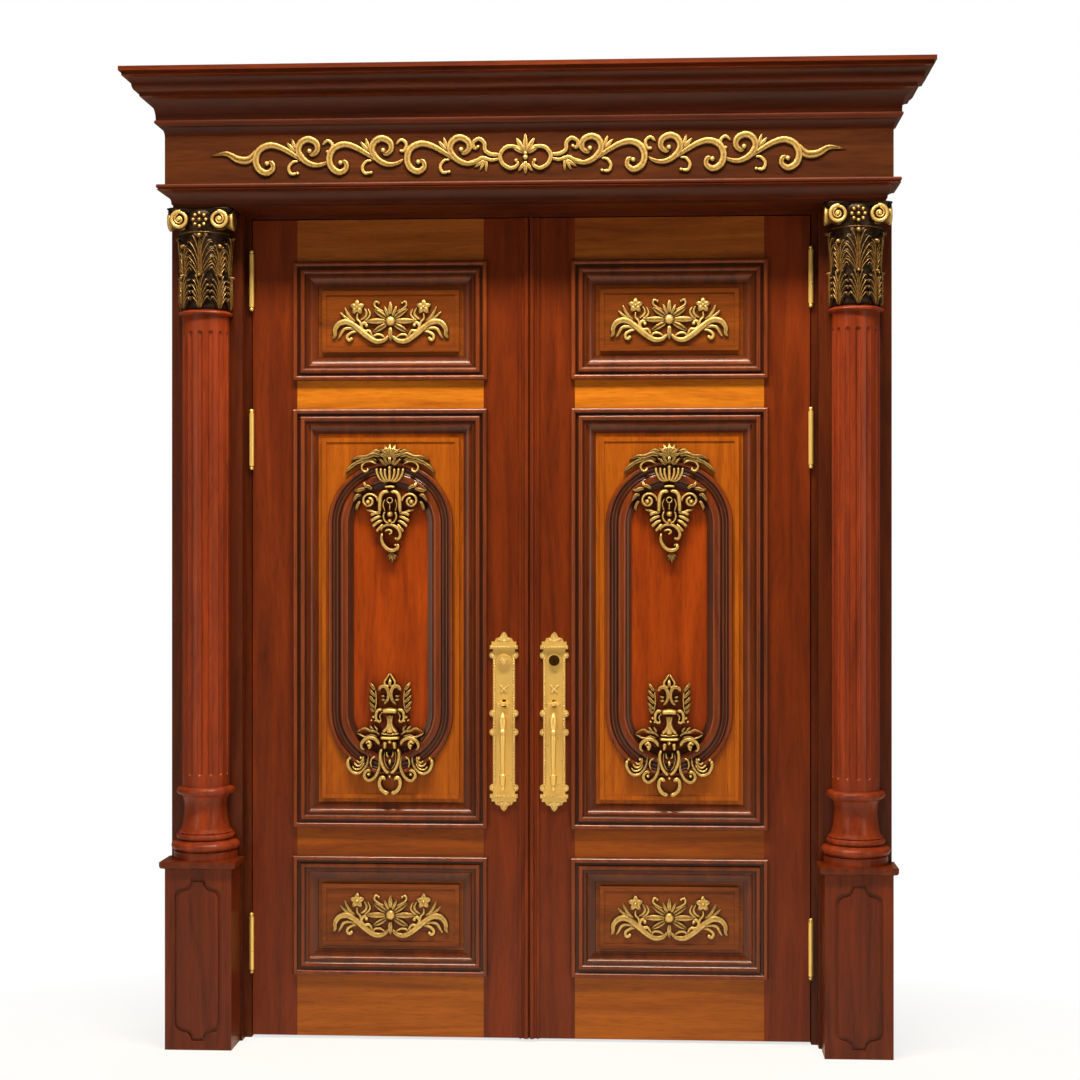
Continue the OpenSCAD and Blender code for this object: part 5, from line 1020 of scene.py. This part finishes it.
# Chasing on the handle plates. Palmettes on both crowns, beads down the borders and on the
# bars, shells on the ears and a bow over the thumb piece are cast on each plate; the blind
# plate on the left leaf has a flower where the other has its key cylinder.
# The chased brass is toned and given painted shade: dark at the feet of the chasing, bright on its crests.
chased_brass = toned_and_shaded_metal("chased_brass", tint(96, 58, 16), tint(214, 164, 76), tint(255, 232, 156), 0.5)
plate_low, plate_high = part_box("right_handle_plate")
plate_x = (plate_low.x + plate_high.x) / 2 / MM
plate_foot = plate_low.z / MM
plate_tall = (plate_high.z - plate_low.z) / MM
border_out, field_level, crown_out, bar_out, cover_out = 6.0, 3.6, 7.8, 13.2, 13.2
bow_up = 345
cylinder_up = 425
crown_petals = [petal(0, 0, long, wide, turn, 1.0, 0.3)
                for long, wide, turn in ((25, 9, 90), (17, 8, 60), (17, 8, 120), (22, 8, 22), (22, 8, 158))]
crown_coils = [(13, 6, 4.5, 1.6, 200, -200, 1.1, 0.8, 0.9, 0), (-13, 6, 4.5, 1.6, -20, 380, 1.1, 0.8, 0.9, 0)]
crown = ornament(1.0, 3.4, crown_petals, crown_coils, [(0, 2, 3.4, 1.2)])
upside_down = (crown[0] * [1, -1, 1], [face[::-1] for face in crown[1]], crown[2])
rows_up = np.arange(74, 432, 7.4)
border_beads = [(side, up, 2.9, 1.0) for side in (-27.2, 27.2) for up in rows_up.tolist()]
bar = ornament(1.0, 1.9, beads=[(across, 0, 3.0, 1.0) for across in np.arange(-34, 35, 6.8).tolist()])
ear_shells = [petal(sign * 28, share * plate_tall, long, 7, turn if sign > 0 else 180 - turn, 1.0, 0.2)
              for share in (0.13, 0.44, 0.545, 0.87) for sign in (-1, 1)
              for long, turn in ((12, 0), (11, 44), (11, -44))]
bow = [petal(0, 0, 17, 8, turn, 1.0, 0.3) for turn in (38, 142, -50, -130)]
plate_parts = [moved(crown, 0, 0.947 * plate_tall, crown_out),
               moved(upside_down, 0, 0.053 * plate_tall, crown_out),
               moved(ornament(1.0, 1.8, beads=border_beads), 0, 0, border_out),
               moved(bar, 0, 0.915 * plate_tall, bar_out),
               moved(bar, 0, 0.085 * plate_tall, bar_out),
               moved(ornament(1.0, 2.2, ear_shells), 0, 0, border_out),
               moved(ornament(1.0, 3.4, bow, beads=[(0, 0, 3, 1.1)]), 0, bow_up, field_level)]
flower_petals = [petal(0, 0, 13.5, 9, turn, 1.0, 0.4) for turn in range(0, 360, 45)]
flower = moved(ornament(1.0, 2.4, flower_petals, beads=[(0, 0, 3.6, 1.3)]), 0, cylinder_up, cover_out)
for side, sign, parts in (("left", -1, plate_parts + [flower]), ("right", 1, plate_parts)):
    points, faces, values = moved(gather(parts), sign * plate_x, plate_foot, 0)
    piece(side + "_plate_chasing", in_place(points), faces, chased_brass, side + "_leaf",
          shade=values, key="ridge")

# Floor, light and camera. A pale floor and a white surround; a broad soft lamp above and in
# front lights the ledges as the showroom's ceiling does, with weak fills at both sides and behind.
bpy.ops.mesh.primitive_plane_add(size=60.0, location=(0, 0, 0))
floor = bpy.context.object
floor.name = "floor"
pale, tree, matt = new_finish("pale_floor")
set_sockets(matt, Base_Color=(0.9, 0.9, 0.9, 1.0), Roughness=0.8)
glow = add_node(tree, "ShaderNodeEmission", Color=WHITE, Strength=1.0)
away = add_node(tree, "ShaderNodeMapping", Scale=(0.55, 1.0, 0.0))
link(tree, object_place(tree), away.inputs["Vector"])
distance = tree.nodes.new("ShaderNodeVectorMath")
distance.operation = "LENGTH"
link(tree, away.outputs[0], distance.inputs[0])
spread = add_node(tree, "ShaderNodeMapRange", From_Min=0.35, From_Max=1.1, To_Min=0.72, To_Max=1.0)
link(tree, distance.outputs["Value"], spread.inputs["Value"])
seen = tree.nodes.new("ShaderNodeLightPath").outputs["Is Camera Ray"]
mixed = tree.nodes.new("ShaderNodeMixShader")
link(tree, maths(tree, "MULTIPLY", seen, spread.outputs[0]), mixed.inputs[0])
link(tree, matt.outputs[0], mixed.inputs[1])
link(tree, glow.outputs[0], mixed.inputs[2])
link(tree, mixed.outputs[0], tree.nodes["Material Output"].inputs["Surface"])
floor.data.materials.append(pale)

ROOM_LIGHT = 0.12
surround = bpy.data.worlds.new("white_surround")
bpy.context.scene.world = surround
surround.use_nodes = True
tree = surround.node_tree
ground = tree.nodes["Background"]
seen = tree.nodes.new("ShaderNodeLightPath").outputs["Is Camera Ray"]
strength = maths(tree, "ADD", maths(tree, "MULTIPLY", seen, 1.0 - ROOM_LIGHT), ROOM_LIGHT)
link(tree, strength, ground.inputs["Strength"])
link(tree, blend_colours(tree, seen, (1.0, 0.8, 0.58, 1.0), WHITE), ground.inputs["Color"])
WARM = (1.0, 0.86, 0.66)


def lamp(name, place, aim, size, watts):
    """A warm rectangular area lamp at a place, turned to face a point."""
    data = bpy.data.lights.new(name, "AREA")
    data.shape = "RECTANGLE"
    data.size, data.size_y = size
    data.energy = watts
    data.color = WARM
    made = bpy.data.objects.new(name, data)
    made.location = place
    made.rotation_euler = (Vector(aim) - Vector(place)).to_track_quat("-Z", "Y").to_euler()
    bpy.context.scene.collection.objects.link(made)


lamp("ceiling_lamp", (0.0, -1.35, 4.5), (0, 0, 1.0), (2.8, 0.45), 250)
lamp("left_fill", (-3.2, -3.6, 1.5), (0, 0, 1.1), (1.4, 2.2), 26)
lamp("rear_fill", (0.0, 4.2, 3.2), (0, 0, 1.2), (3.0, 2.0), 70)
lamp("right_fill", (3.4, -3.4, 1.5), (0, 0, 1.1), (1.4, 2.2), 26)

PHOTO_WIDTH = 1080.0
FOCAL_LENGTH = 1850.0
camera_data = bpy.data.cameras.new("eye")
camera_data.sensor_width = 36.0
camera_data.lens = 36.0 * FOCAL_LENGTH / PHOTO_WIDTH
camera_data.shift_x = -0.022
camera_data.shift_y = 0.0074
camera = bpy.data.objects.new("eye", camera_data)
camera.location = (0.370, LEAF_FACE - 5.2, 1.389)
camera.rotation_euler = (math.radians(90), 0, math.radians(3.0))
bpy.context.scene.collection.objects.link(camera)
bpy.context.scene.camera = camera
bpy.context.scene.view_settings.view_transform = "Standard"
